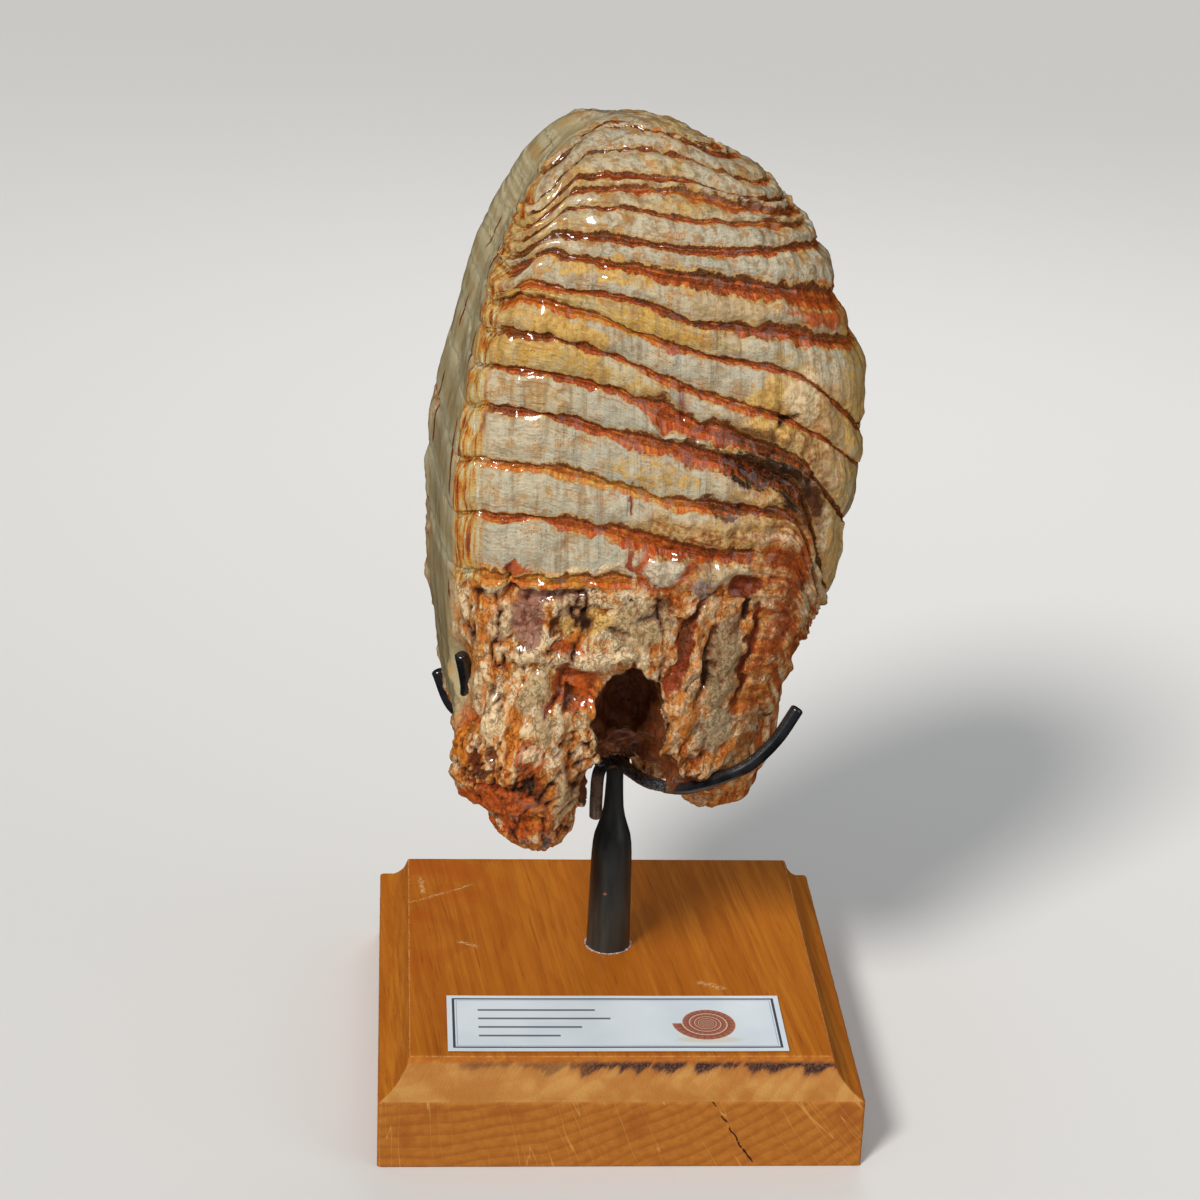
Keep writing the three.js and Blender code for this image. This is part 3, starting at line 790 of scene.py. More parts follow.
# Each seam's fall where it meets the worn face, and then at five places across the crown, worn side
# first, its height, half width, stain from 0, dark brown, through 0.5, red, to 1, yellow, and the
# tint of the plate above from 0, grey, to 1, ochre
stations = [-28, -8, 8, 36, 60]
seams = [dict(zip(("fall", "height", "half", "stain", "tint"), facts)) for facts in [
    (3, [269.8, 270.1, 270.1, 268.4, 260], [0.4, 0.5, 0.6, 0.6, 0.4],
     [0.5, 0.55, 0.6, 0.6, 0.5], [0.5, 0.5, 0.6, 0.6, 0.5]),
    (5, [268.8, 269.4, 269.2, 266, 256], [0.4, 0.5, 0.9, 0.5, 0.4],
     [0.2, 0.3, 0.4, 0.6, 0.6], [0.45, 0.35, 0.5, 0.6, 0.5]),
    (9, [265, 266.2, 265.6, 260.5, 249], [0.4, 0.6, 0.8, 0.6, 0.5],
     [0.25, 0.4, 0.65, 0.6, 0.6], [0.45, 0.4, 0.45, 0.5, 0.5]),
    (10, [262, 261.2, 260.5, 256, 244], [0.5, 0.5, 0.6, 0.5, 0.5],
     [0.3, 0.5, 0.6, 0.5, 0.5], [0.6, 0.5, 0.5, 0.55, 0.5]),
    (10, [259, 259, 258, 252.5, 240], [0.5, 1.1, 1.5, 1.5, 1.1],
     [0.5, 0.6, 0.7, 0.6, 0.65], [0.75, 0.6, 0.6, 0.5, 0.5]),
    (10, [255.5, 254.5, 252.5, 249, 237], [0.5, 0.5, 0.5, 0.6, 0.5],
     [0.35, 0.5, 0.6, 0.7, 0.65], [0.6, 0.6, 0.7, 0.5, 0.5]),
    (9, [250.5, 248, 245.5, 243, 232], [0.9, 0.9, 0.9, 0.8, 0.6],
     [0.3, 0.4, 0.45, 0.5, 0.6], [0.65, 0.45, 0.4, 0.3, 0.5]),
    (8, [246, 242, 238.5, 232.5, 222], [1.0, 0.9, 1.6, 2.4, 1.6],
     [0.4, 0.5, 0.42, 0.48, 0.6], [0.5, 0.3, 0.15, 0.35, 0.5]),
    (5, [237.5, 234.5, 228.5, 222.5, 213], [0.7, 0.6, 0.9, 1.6, 1.1],
     [0.6, 0.45, 0.35, 0.45, 0.6], [0.35, 0.25, 0.5, 0.6, 0.6]),
    (4, [234, 227, 220.5, 212.5, 190], [1.1, 0.8, 1.0, 0.7, 0.6],
     [0.6, 0.75, 0.5, 0.5, 0.4], [0.8, 0.95, 0.75, 0.5, 0.6]),
    (2.5, [225.5, 219, 210.5, 200, 180], [0.9, 0.9, 1.3, 0.6, 0.5],
     [0.3, 0.5, 0.55, 0.5, 0.45], [0.6, 0.25, 0.3, 0.5, 0.7]),
    (2.5, [216, 210, 201.5, 190.5, 160], [0.8, 1.5, 2.4, 1.2, 0.8],
     [0.4, 0.5, 0.45, 0.25, 0.3], [0.95, 0.8, 0.35, 0.55, 0.7]),
    (2.5, [205.5, 199, 194, 182.5, 118], [0.7, 1.4, 2.7, 1.9, 0.8],
     [0.3, 0.48, 0.45, 0.25, 0.3], [0.5, 0.25, 0.3, 0.6, 0.8]),
    (3, [191.5, 185.5, 180, 175, 105], [1.2, 1.2, 1.3, 1.2, 0.8],
     [0.65, 0.75, 0.62, 0.3, 0.35], [0.45, 0.2, 0.3, 0.5, 0.6]),
    (3.5, [177.5, 173, 167.5, 162.5, 95], [0.8, 1.9, 2.1, 1.2, 0.8],
     [0.5, 0.5, 0.42, 0.35, 0.35], [0.4, 0.3, 0.5, 0.7, 0.8]),
    (3, [161, 160.5, 155, 150, 85], [1.4, 1.5, 1.6, 1.2, 1.0],
     [0.7, 0.6, 0.45, 0.35, 0.4], [0.3, 0.2, 0.45, 0.75, 0.8]),
]]

# The groove at a seam: places across it in half widths, upper plate first, and depth there
groove = {
    "place": [-1.45, -1.0, -0.75, -0.2, 0.5, 1.0, 1.5],
    "depth": [0, 0.12, 1, 0.85, 0.6, 0.2, 0],     # the upper plate's edge hangs over it
    "least": 0.55, "perHalf": 0.5,     # mm of depth, and mm more for each mm of half width
}

# Root lobes from tip to top: height, middle and half widths of each ring
lobes = {
    "frontLeft": [
        [77.6, -22.2, -31, 2, 2], [80, -23, -31, 6.5, 7], [84.5, -23.5, -31, 11.5, 12],
        [91, -25, -30, 14, 15], [96, -27, -29, 17.5, 18], [105, -27, -29, 18.5, 20],
        [118, -26.5, -27.5, 18, 19], [132, -25, -24, 16, 17], [148, -22, -18, 9, 10],
    ],
    "right": [
        [81.4, 25, -10, 3, 3], [84, 26, -10, 8, 8], [91, 27, -10, 11.5, 12], [100, 29, -10, 14, 15],
        [114, 30, -8, 14, 17],
    ],
    "back": [[85, 2, 27, 3, 3], [88, 2, 27, 8, 8], [95, 2, 26, 12, 11], [106, 2, 24, 14, 13]],
    "tongue": [[84.8, 12, -1.5, 2, 2], [86.6, 12, -1.5, 6, 4.6], [94, 12, -2, 8, 6], [106, 12, -2, 10, 8]],
}
hollows = [
    {"middle": (0.5, -38, 117.5), "size": (9.5, 27, 17.5)},
    {"middle": (2, -37, 98), "size": (14, 26.5, 13)}, {"middle": (16, -41, 92), "size": (12.5, 17, 9.5)},
]

# Forms on the front: place across and height, half sizes, degrees turned, mm raised, hue and how much
hues = {
    "cream": (0.72, 0.55, 0.31), "plate": (0.60, 0.51, 0.35), "ochre": (0.60, 0.36, 0.09),
    "orange": (0.64, 0.20, 0.018), "vermilion": (0.50, 0.09, 0.010), "red": (0.27, 0.034, 0.006),
    "brown": (0.12, 0.038, 0.012), "dark": (0.032, 0.013, 0.006), "purple": (0.34, 0.165, 0.115),
    "lilacHighlight": (0.46, 0.36, 0.30), "khaki": (0.50, 0.36, 0.18),
}
forms = [
    # Crown
    ((8, 270.2), (24, 0.9), 0, 0, "orange", 0.9), ((-9, 241), (19, 3.2), -6, 0, "ochre", 0.6),
    ((-24, 227), (11, 4), -20, 0, "ochre", 0.8), ((16, 232), (9, 4.5), -10, 0, "khaki", 0.7),
    ((48, 226), (16, 5), -20, 0, "vermilion", 0.7), ((32, 205), (9, 8), 0, 0, "ochre", 0.7),
    ((62, 205), (14, 34), 0, 0, "ochre", 0.5), ((0, 189), (15, 4), -15, 0, "ochre", 0.45),
    ((38, 206), (5, 7), 20, 0.9, "cream", 0.9), ((33.6, 201.2), (3, 1.5), 20, -2, "dark", 1),
    ((26, 197), (6, 3), -25, -0.4, "brown", 0.7), ((29, 187), (10, 4.6), -20, -0.6, "dark", 0.9),
    ((18, 179), (7, 2.4), -15, -0.4, "brown", 0.7),
    ((38, 181), (7, 4), -30, -0.4, "dark", 0.7), ((43, 176), (5, 6), 0, 0, "brown", 0.6),
    ((-6, 182.8), (0.6, 5), 5, -0.8, "red", 0.8), ((-5.2, 167.5), (0.9, 5), 5, -0.7, "red", 0.9),
    # Upper roots
    ((-33.6, 163.2), (3.2, 2.6), 0, 0.4, "vermilion", 0.9), ((-25.8, 161.4), (2.8, 2.7), 0, 0.9, "orange", 1),
    ((-19.4, 160), (2.6, 2.6), 0, 0.9, "orange", 1), ((-12.2, 160), (3.2, 2), 0, 0.8, "orange", 1),
    # the purple band at (-25, 156.6) is a painted shadow below the notches
    ((-19, 163.6), (12, 0.9), 2, 0.8, "cream", 0.8), ((-25, 156.6), (8, 2), 3, -1.8, "purple", 0.9),
    ((-41, 158.4), (4.6, 6), 0, 0, "orange", 0.9), ((-40.6, 159.8), (3, 4.1), 0, 1.7, "cream", 1),
    ((-36.6, 158.5), (1, 8), -14, -1.6, "red", 1), ((-38.3, 148.6), (4.2, 8), -14, 0, "orange", 0.9),
    ((-38.1, 148.3), (3, 6.6), -14, 1.6, "cream", 0.9), ((-31.6, 150.4), (3.6, 7.6), 0, -0.5, "purple", 1),
    ((-23, 152.6), (2.6, 0.9), 35, 1.2, "cream", 1), ((-15.5, 154.6), (6, 0.9), 0, 1.2, "cream", 1),
    ((-24, 147.9), (1.5, 2.8), 0, -1.8, "brown", 1), ((-17, 149), (6, 3), 10, 0.6, "ochre", 0.8),
    ((-18.3, 144.9), (2.4, 1.8), 0, 0.5, "orange", 1), ((-20.5, 141.4), (4, 1.8), 5, -0.6, "vermilion", 0.9),
    ((-3, 148), (8, 6), 0, 0.8, "khaki", 0.8), ((-8, 146), (5, 1), -12, -1.4, "brown", 0.8),
    ((1, 151), (6, 1), 20, -1.2, "dark", 0.6), ((3.4, 162.6), (6.6, 6.6), 0, -0.9, "vermilion", 0.95),
    ((3.4, 162.6), (5.1, 5.3), 0, 1.8, "plate", 1), ((12, 166), (7, 4), -10, -0.3, "red", 0.9),
    # the lilac spot at (13.5, 156.7) is a painted highlight
    ((20, 161), (8, 3.4), -15, 0.6, "cream", 0.7), ((13.5, 156.7), (3.5, 3), 20, 0.4, "lilacHighlight", 0.6),
    ((25.3, 157), (4, 3), 0, -1.6, "red", 1), ((26.2, 149.6), (1.6, 3.2), -10, -1.6, "dark", 0.9),
    ((9, 138), (2.2, 12), -16, -0.8, "red", 0.75), ((11.5, 147), (1, 8), -20, -1.2, "brown", 0.8),
    ((15.6, 133), (1.3, 11), -10, -2.2, "brown", 1),
    ((20.5, 135), (4, 13), -8, 1.2, "khaki", 0.9), ((27, 136), (1.2, 14), -10, -1.6, "red", 0.9),
    ((33, 140), (2.6, 17), -12, 0.4, "vermilion", 0.5), ((39, 150), (3, 20), -12, 0, "vermilion", 0.6),
    ((46, 158), (2, 20), -10, 0, "cream", 0.5),
    ((12.5, 121), (2, 8), -25, 1, "orange", 0.7), ((19.5, 115), (5, 6), 0, 0.8, "cream", 0.8),
    ((-13.5, 138.6), (11, 1.7), 5, 2.4, "cream", 1), ((-17.5, 130), (6.5, 5.5), 0, -2.6, "vermilion", 1),
    ((-20, 127), (2, 3), 20, -1.6, "dark", 0.9), ((-10.8, 130.5), (2.2, 2.2), 0, 1.6, "orange", 1),
    ((-12.5, 122.8), (2, 2.8), 0, 1.4, "orange", 1), ((-32.3, 139.8), (4.4, 2.2), 0, 1.6, "cream", 1),
    ((-29, 131), (2, 6.4), -30, 2, "khaki", 1), ((-27.7, 121), (3, 4.4), 0, 0.9, "khaki", 0.8),
    ((-24.6, 127), (0.8, 6), -25, -1.8, "red", 1),
    # Front left root
    # the cream lump at (-40.2, 122) is partly a raised lump and partly a painted highlight
    ((-44.6, 126), (2.4, 4.8), -10, 1.2, "cream", 0.8), ((-40.2, 122), (3, 5), -15, 1.4, "cream", 0.9),
    ((-43.4, 124), (0.9, 7), -12, -1.6, "orange", 1), ((-35, 119), (1, 8), -12, -1.7, "orange", 1),
    ((-48, 112), (1.4, 5), 0, -0.4, "orange", 0.9), ((-48.6, 116.5), (1, 3.4), -25, -1.3, "vermilion", 1),
    ((-45, 108), (1.3, 2.8), 0, -1.4, "dark", 0.9), ((-41, 112.5), (1.2, 2.4), 10, -1.2, "brown", 0.9),
    ((-42.5, 107), (4, 0.8), 15, -1.2, "brown", 0.8), ((-30.2, 113), (3.9, 3.3), 0, -1, "vermilion", 0.9),
    # the red line at (-37, 102.9) is a painted shadow under the ledge
    ((-30.2, 113), (2.8, 2.3), 0, 1.6, "cream", 0.9), ((-37, 102.9), (9, 0.9), -4, -1.8, "red", 1),
    ((-36.5, 94.5), (10, 7.4), -15, -1.8, "vermilion", 1), ((-41, 90.6), (5, 0.8), -40, 0.8, "cream", 0.9),
    ((-26.6, 96.5), (1.6, 7), -18, -0.8, "orange", 1), ((-20.3, 99.5), (4, 6), 0, 0.4, "khaki", 0.8),
    ((-19, 108), (1, 8), 0, -1, "orange", 0.8),
]
pits = [((-48, -31, 127), (6, 13, 12), 3.6)]     # places for the claws' tips: middle, half sizes, depth


def domeFactor(height):     # the crown closes over its top
    rise = np.clip((height - tooth["domeStart"]) / (tooth["top"] - tooth["domeStart"]), 0, 1)
    return np.sqrt(1 - rise ** 2)


def unturned(points):     # from the block's frame to the tooth's own
    turn = math.radians(tooth["yaw"])
    c, s = math.cos(turn), math.sin(turn)
    x, y, z = points[..., 0], points[..., 1], points[..., 2]
    return np.stack([x * c + y * s, y * c - x * s, z], -1)


def lobeReach(c, s, height):     # how far the front left root lobe reaches from the tooth's axis
    table = np.array(lobes["frontLeft"], float)
    x, y, halfX, halfY = (curveThrough(table[:, 0], table[:, k], height) for k in (1, 2, 3, 4))
    middle = unturned(np.stack([x, y, height], -1))
    x, y = middle[..., 0] - tooth["axis"], middle[..., 1]
    square = (c / halfX) ** 2 + (s / halfY) ** 2
    half = x * c / halfX ** 2 + y * s / halfY ** 2
    inside = half ** 2 - square * ((x / halfX) ** 2 + (y / halfY) ** 2 - 1)
    reach = (half + np.sqrt(np.maximum(inside, 0))) / square
    return np.where((inside > 0) & (half > 0), reach, 0) * (1 - smooth(height, 136, 150))


def outlineRadius(angle, height):
    c, s = np.cos(angle), np.sin(angle)
    corner = outline["corner"]
    left = np.where(s > 0, corner["backLeft"], corner["frontLeft"])
    power = corner["right"] + (left - corner["right"]) * smooth(-c, -0.4, 0.5)
    keys = ("left", "right", "front", "back", "frontLeft")
    sides = {key: curveThrough(outline["height"], outline[key], height) for key in keys}
    reach = np.where(c > 0, sides["right"], sides["left"] + sides["frontLeft"] * smooth(-s, -0.3, 0.7))
    depth = np.where(s > 0, sides["back"], sides["front"])
    radius = (np.abs(c / reach) ** power + np.abs(s / depth) ** power) ** (-1 / power)
    lobe = lobeReach(c, s, height)
    over = np.clip(0.5 + (lobe - radius) / 8, 0, 1)
    radius = radius + (lobe - radius) * over + 4 * over * (1 - over)     # a soft joint
    return radius * domeFactor(height)


def toothColumns():     # directions, closer together on the front
    fine = np.linspace(0, 2 * np.pi, 1441)
    radius = outlineRadius(fine, tooth["widest"])
    length = np.hypot(np.diff(radius * np.cos(fine)), np.diff(radius * np.sin(fine)))
    middle = (fine[1:] + fine[:-1]) / 2
    weight = 1 + (tooth["frontDensity"] - 1) * smooth(-np.sin(middle), -0.2, 0.3)
    total = np.concatenate([[0], np.cumsum(length * weight)])
    return np.interp(np.linspace(0, total[-1], tooth["columns"], endpoint=False), total, fine)


def seamLine(i, place, across, y, height, wobble):     # height of a line along seam i, at a place across it
    dome = np.maximum(domeFactor(height), 0.1)
    left = curveThrough(outline["height"], np.add(outline["left"], outline["frontLeft"]), height)
    edge = tooth["axis"] - left * dome
    reach = curveThrough(outline["height"], outline["front"], height) * dome
    behind = np.clip(1 + y / reach, 0, 1)
    tilt = tooth["topTilt"]
    sink = tilt["slope"] * reach * smooth(height, tilt["from"], tilt["to"]) * behind * (2 - behind)
    drop = seams[i]["fall"]
    fall = 1 - smooth((across - edge) / dome, 1, drop + 2)
    middle = curveThrough(stations, seams[i]["height"], across) - drop * dome * fall - sink
    half = curveThrough(stations, seams[i]["half"], across) * wobble["width"][i]
    steep = dome / np.sqrt(dome ** 2 + 0.8 * (1 - dome ** 2))     # keeps widths true where the top lies flat
    return middle + (wobble["drift"][i] - place * half) * steep


def toothRows():     # every row from the top down: two lines and the part of the way between them
    first, last = groove["place"][0], groove["place"][-1]
    rows = []

    def addRows(kind, upper, lower, parts):
        rows.extend({"kind": kind, "upper": upper, "lower": lower, "part": part} for part in parts)

    count = tooth["topRows"]
    addRows("top", (0, first), None, [0.985 * (1 - k / count) for k in range(count)])
    for i, seam in enumerate(seams):
        for place in groove["place"]:
            addRows("seam", (i, place), None, [0])
        if i + 1 < len(seams):
            gaps = np.subtract(seam["height"], seams[i + 1]["height"])
            count = int(np.clip(np.mean(gaps) / tooth["plateRowHeight"], 2, 12))
            addRows("plate", (i, last), (i + 1, first), [(k + 1) / (count + 1) for k in range(count)])
    count = tooth["rootRows"]
    addRows("root", (len(seams) - 1, last), None, [(k + 1) / count for k in range(count)])
    return rows


def rowHeight(row, across, y, height, wobble):
    upper = seamLine(*row["upper"], across, y, height, wobble)
    if row["kind"] == "seam":
        return upper
    if row["kind"] == "top":
        return upper + (tooth["top"] - upper) * row["part"]
    if row["kind"] == "plate":
        return upper + (seamLine(*row["lower"], across, y, height, wobble) - upper) * row["part"]
    upper = np.maximum(upper, tooth["underside"] + 4)
    return upper + (tooth["underside"] - upper) * row["part"]


def bodyGrid():     # points of the smooth body, and what lies at each
    angles = toothColumns()
    c, s = np.cos(angles), np.sin(angles)
    ringPoints = np.stack([60 * c, 42 * s, 0 * c], -1)
    count = len(seams)
    spread = [ringPoints + (0, 0, 31.0 * i) for i in range(count)]
    wobble = {
        "drift": [0.45 * lumps(p, 11, 1) + 0.28 * lumps(p, 3.5, 2) for p in spread],
        "width": [np.clip(1 + 0.5 * lumps(p, 8, 3) + 0.3 * lumps(p, 2.6, 4), 0.35, 1.9) for p in spread],
    }
    rows = toothRows()
    grid = []
    for row in rows:
        height = np.full(len(angles), float(tooth["domeStart"]))
        for _ in range(60):
            radius = outlineRadius(angles, height)
            level = rowHeight(row, tooth["axis"] + radius * c, radius * s, height, wobble)
            height = height + 0.25 * (level - height)
        height = np.clip(height, tooth["underside"], tooth["top"])
        radius = np.maximum(outlineRadius(angles, height), 0.4)
        grid.append(np.stack([tooth["axis"] + radius * c, radius * s, height], -1))
    last = grid[-1]
    count = tooth["undersideRings"]
    for k in range(1, count):
        scale = 1 - k / count
        height = curveThrough([0, 0.45, 0.8, 1], [97, 96, 92.4, tooth["underside"]], scale)
        rows.append({"kind": "under"})
        grid.append(np.stack([tooth["axis"] + (last[:, 0] - tooth["axis"]) * scale, last[:, 1] * scale,
                              np.full(len(angles), height)], -1))
    return np.array(grid), rows, angles


def gridNormals(grid):     # outward, from neighbours on the grid
    down = np.gradient(grid, axis=0)
    around = np.roll(grid, -1, axis=1) - np.roll(grid, 1, axis=1)
    normal = np.cross(around, -down)
    length = np.linalg.norm(normal, axis=-1, keepdims=True)
    radial = grid - grid.mean(axis=1, keepdims=True)
    radial[..., 2] = 0
    radial /= np.maximum(np.linalg.norm(radial, axis=-1, keepdims=True), 1e-6)
    return np.where(length > 1e-6, normal / np.maximum(length, 1e-9), radial)


def rowFacts(rows):     # for each row: distance from the seam, band number, and part of the plate
    facts = []
    for row in rows:
        if row["kind"] == "seam":
            i, place = row["upper"]
            facts.append((place, i + (place > 0), float(place <= 0)))
        elif row["kind"] == "plate":
            facts.append((4 if row["part"] < 0.5 else -4, row["upper"][0] + 1, row["part"]))
        elif row["kind"] == "top":
            facts.append((-4, 0, 0.5))
        else:
            facts.append((4, len(seams), 0.5))
    return np.array(facts, float).T


def formFacts(points):     # how far the forms raise the surface, and their hue and share there
    x = points[..., 0] + 1.3 * lumps(points, 5, 40) + 0.5 * lumps(points, 2, 42)
    z = points[..., 2] + 1.3 * lumps(points, 5, 41) + 0.5 * lumps(points, 2, 43)
    front = smooth(-points[..., 1], 2, 14)
    raised, tint, share = 0 * x, np.zeros((*x.shape, 3)), 0 * x
    for (u, v), (halfU, halfV), turn, lift, hue, much in forms:
        c, s = math.cos(math.radians(turn)), math.sin(math.radians(turn))
        far = (((x - u) * c + (z - v) * s) / halfU) ** 2 + (((z - v) * c - (x - u) * s) / halfV) ** 2
        here = front * (1 - smooth(far, 0.35, 1.5))
        raised = raised + lift * (0.85 if lift > 0 else 1) * here
        here = front * much * (1 - smooth(far, 0.3, 2.2))
        within = front * much * (1 - smooth(far, 0.7, 1.3))
        cover = within + (1 - within) * np.clip(1 - share / np.maximum(here, 1e-6), 0, 1)
        tint += (np.array(hues[hue]) - tint) * cover[..., None]
        share = np.maximum(share, here)
    for middle, size, depth in pits:
        far = (((points - middle) / size) ** 2).sum(axis=-1)
        raised = raised - depth * (1 - smooth(far, 0.4, 1.6))
    return raised, tint, share


def creases(points, size, seed, width=0.12):     # narrow lines that wander, 1 in their middle
    return np.exp(-(lumps(points, size, seed) / width) ** 2)


def rootRelief(points, along, flank):     # folds, fibres and broken blocks
    x, z = points[..., 0], points[..., 2]
    right = smooth(x, 4, 12)
    bent = points + lumps(points, 7, 9)[..., None] * 1.5
    bent[..., 0] -= 0.3 * (z - 130) * right
    upright = bent * (1, 1, 0.3)
    lying = np.stack([along, x / 7, z / 9], -1)
    folds = 1.3 * lumps(bent * (1, 1, 0.6), 9, 11) + 0.7 * lumps(bent, 4.5, 12)
    fibres = (1 - flank) * (0.3 + 0.5 * right) * (lumps(upright, 2.8, 5) + 0.6 * lumps(upright, 1.4, 6))
    fibres += flank * (0.8 * lumps(lying, 2.6, 7) + 0.45 * lumps(lying, 1.1, 8))
    edge, level = chips(bent, (5, 5, 4.2), 1)
    blocks = 1.5 * (level - 0.5) - 1.3 * (1 - smooth(edge, 0, 0.14))
    stub = (1 - smooth(z, 98, 104)) * (1 - smooth(x, -27, -24))
    blocky = np.maximum(1 - smooth(z, 112, 124), 0.3 * smooth(lumps(points, 13, 10), 0, 0.5)) * (1 - right)
    blocky = blocky * (1 - 0.7 * stub)
    split = 1.2 * creases(upright, 7, 14, 0.09) + 0.9 * creases(bent * (1, 1, 1.3), 6, 15, 0.08)
    split *= 1 - flank
    split += flank * 1.1 * creases(lying, 4.5, 16)
    relief = (folds + fibres) * (1 - 0.6 * stub) + blocky * blocks - split + 0.1 * lumps(points, 1.6, 13)
    # the second value marks where the finish darkens: cracks, block edges and, through the folds, painted
    # shade in their low parts
    return relief, np.clip(split * 0.6 + blocky * (1 - smooth(edge, 0, 0.12)) * 0.7 - 0.25 * folds, 0, 1)


def toothBody():
    grid, rows, angles = bodyGrid()
    normals = gridNormals(grid)
    x, y, z = grid[..., 0], grid[..., 1], grid[..., 2]
    c, s = np.cos(angles)[None, :], np.sin(angles)[None, :]
    seamPlace, band, part = (values[:, None] + 0 * x for values in rowFacts(rows))
    kinds = np.array([row["kind"] for row in rows])[:, None]

    steps = np.linalg.norm(np.diff(grid, axis=0, prepend=grid[:1]), axis=-1)
    down = np.cumsum(steps, axis=0)     # mm down each column
    start = np.zeros_like(down)
    for i in range(1, len(rows)):
        start[i] = np.where(band[i] != band[i - 1], down[i], start[i - 1])
    plate = np.stack([x, y, (down - start) + 37.0 * band], -1)
    along = 9.0 * (band + part) + np.where(kinds == "root", 0.45 * (down - start), 0)

    behind = smooth(s + 0 * x, 0.1, 0.4) * smooth(z, 185, 215)
    uneven = 0.06 * lumps(grid, 10, 36) + 0.03 * lumps(grid, 3.5, 37)
    behind = 0.45 * behind + uneven * smooth(s + 0 * x, 0, 0.3)
    wear = smooth(-c + behind, 0.80, 0.93) * smooth(z, 104, 114) * (1 - smooth(z, 266, 270.2))
    flank = smooth(x, 16, 38) * smooth(250 - z, 30, 70)
    limit = 15.7 - 1.2 * smooth(x, -7, -3) - 1.6 * smooth(x, 20, 34) - 1.4 * smooth(x, 45, 62)
    rough = smooth(x, -5, 2) * smooth(band + part, 14, 14.6)
    rough = np.maximum(rough, smooth(x, 14, 30) * smooth(214 - z, 0, 14))
    rough = rough * smooth(-y, 0, 16) * (1 - 0.8 * smooth(x, 40, 56))
    root = smooth(band + part - 1 - limit + 0.25 * lumps(grid, 5, 20), -0.1, 0.5) * (1 - wear)
    root = np.where((kinds == "under") | (kinds == "root"), np.maximum(root, 1 - wear), root)
    dome = smooth(domeFactor(z), 0.0, 0.35)

    halves, tones, tints = 0 * x, 0 * x, 0 * x
    for i, seam in enumerate(seams):
        near = np.abs(band + (seamPlace > 0) * -1 - i) < 0.5
        halves = np.where(near, curveThrough(stations, seam["half"], x), halves)
        tones = np.where(near, curveThrough(stations, seam["stain"], x), tones)
        tints = np.where(band == i, curveThrough(stations, seam["tint"], x), tints)
    depth = np.interp(seamPlace, groove["place"], groove["depth"], left=0, right=0)
    depth = depth * (groove["least"] + groove["perHalf"] * halves) * (1 - 0.85 * wear)
    depth = depth * (1 + 0.35 * lumps(plate, (2.2, 2.2, 9), 21))
    bulge = 0.8 * np.sin(np.pi * np.clip(part, 0, 1)) ** 0.7 * (kinds == "plate")

    columns = 0.48 * lumps(plate * (1, 1, 0.06), 3.4, 22) + 0.22 * lumps(plate * (1, 1, 0.1), 1.7, 23)
    knobs = 0.45 * lumps(grid, 9, 24) + 0.3 * lumps(grid, 4, 25) + 0.16 * lumps(grid, 1.9, 26)
    shingle = 0.75 * lumps(plate * (1, 1, 0) + (0, 0, 1) * band[..., None] * 19, 16, 33)
    knobs = knobs + shingle + rough * 0.8 * lumps(grid, 3, 35)
    plateRelief = (bulge + columns) * (1 - wear) + knobs * (1 - 0.7 * wear)
    strands = np.stack([x * 1.0, y * 1.0, z / 12], -1)
    bundle = smooth(-c + 0 * x, 0.69, 0.76) * (1 - smooth(-c + 0 * x, 0.84, 0.90))
    bundle = bundle * smooth(-s + 0 * x, 0.1, 0.2) * smooth(z, 114, 126) * smooth(266 - z, 0, 12)
    bundleRelief = 0.6 * lumps(strands, 1.7, 27) + 0.6 * lumps(strands, 3.4, 28)
    crack = np.exp(-((x - 6.8 - 0.5 * lumps(grid, 5, 29)) / 0.9) ** 2) * (band == 11) * (s < 0)

    broken, split = rootRelief(grid, along, flank)
    raised, tint, share = formFacts(grid)
    tint = tint * (1 - 0.35 * smooth(x, 4, 14) * smooth(174 - z, 0, 20))[..., None]
    relief = plateRelief * (1 - root) - depth * (1 - 0.55 * root) + root * broken * (0.85 - 0.5 * share)
    relief = relief + bundle * bundleRelief - 1.5 * crack + raised
    relief = np.where(kinds == "under", relief * 0.8, relief)
    moved = grid + normals * (relief * dome)[..., None]
    moved[..., 2] = np.minimum(moved[..., 2], tooth["top"] + 0.1)

    facts = {
        "plate": plate, "seamFar": np.abs(seamPlace), "seamSide": np.clip(seamPlace, -1.5, 1.5),
        "bandEdge": np.abs(2 * part - 1), "stain": tones, "tone": tints, "wear": wear, "bundle": bundle,
        "root": root, "flank": flank, "crack": crack, "relief": relief, "along": along,
        "split": split * root, "turn": -c + 0 * x, "rough": rough, "tint": tint, "share": share,
    }
    topPole = (tooth["axis"], 0, tooth["top"])
    bottomPole = (tooth["axis"], 0, 97)
    return gridMesh("toothBody", moved, facts, bottomPole, topPole)


def rootFacts(grid):     # what the finish reads on a root lobe or in a hollow
    blank = np.zeros(grid.shape[:2])
    names = ("seamSide", "bandEdge", "stain", "tone", "wear", "bundle", "flank", "crack", "along", "split",
             "turn", "rough", "share")
    facts = {name: blank for name in names}
    facts.update({"plate": grid * 1.0, "seamFar": blank + 4, "root": blank + 1, "tint": 0 * grid})
    return facts


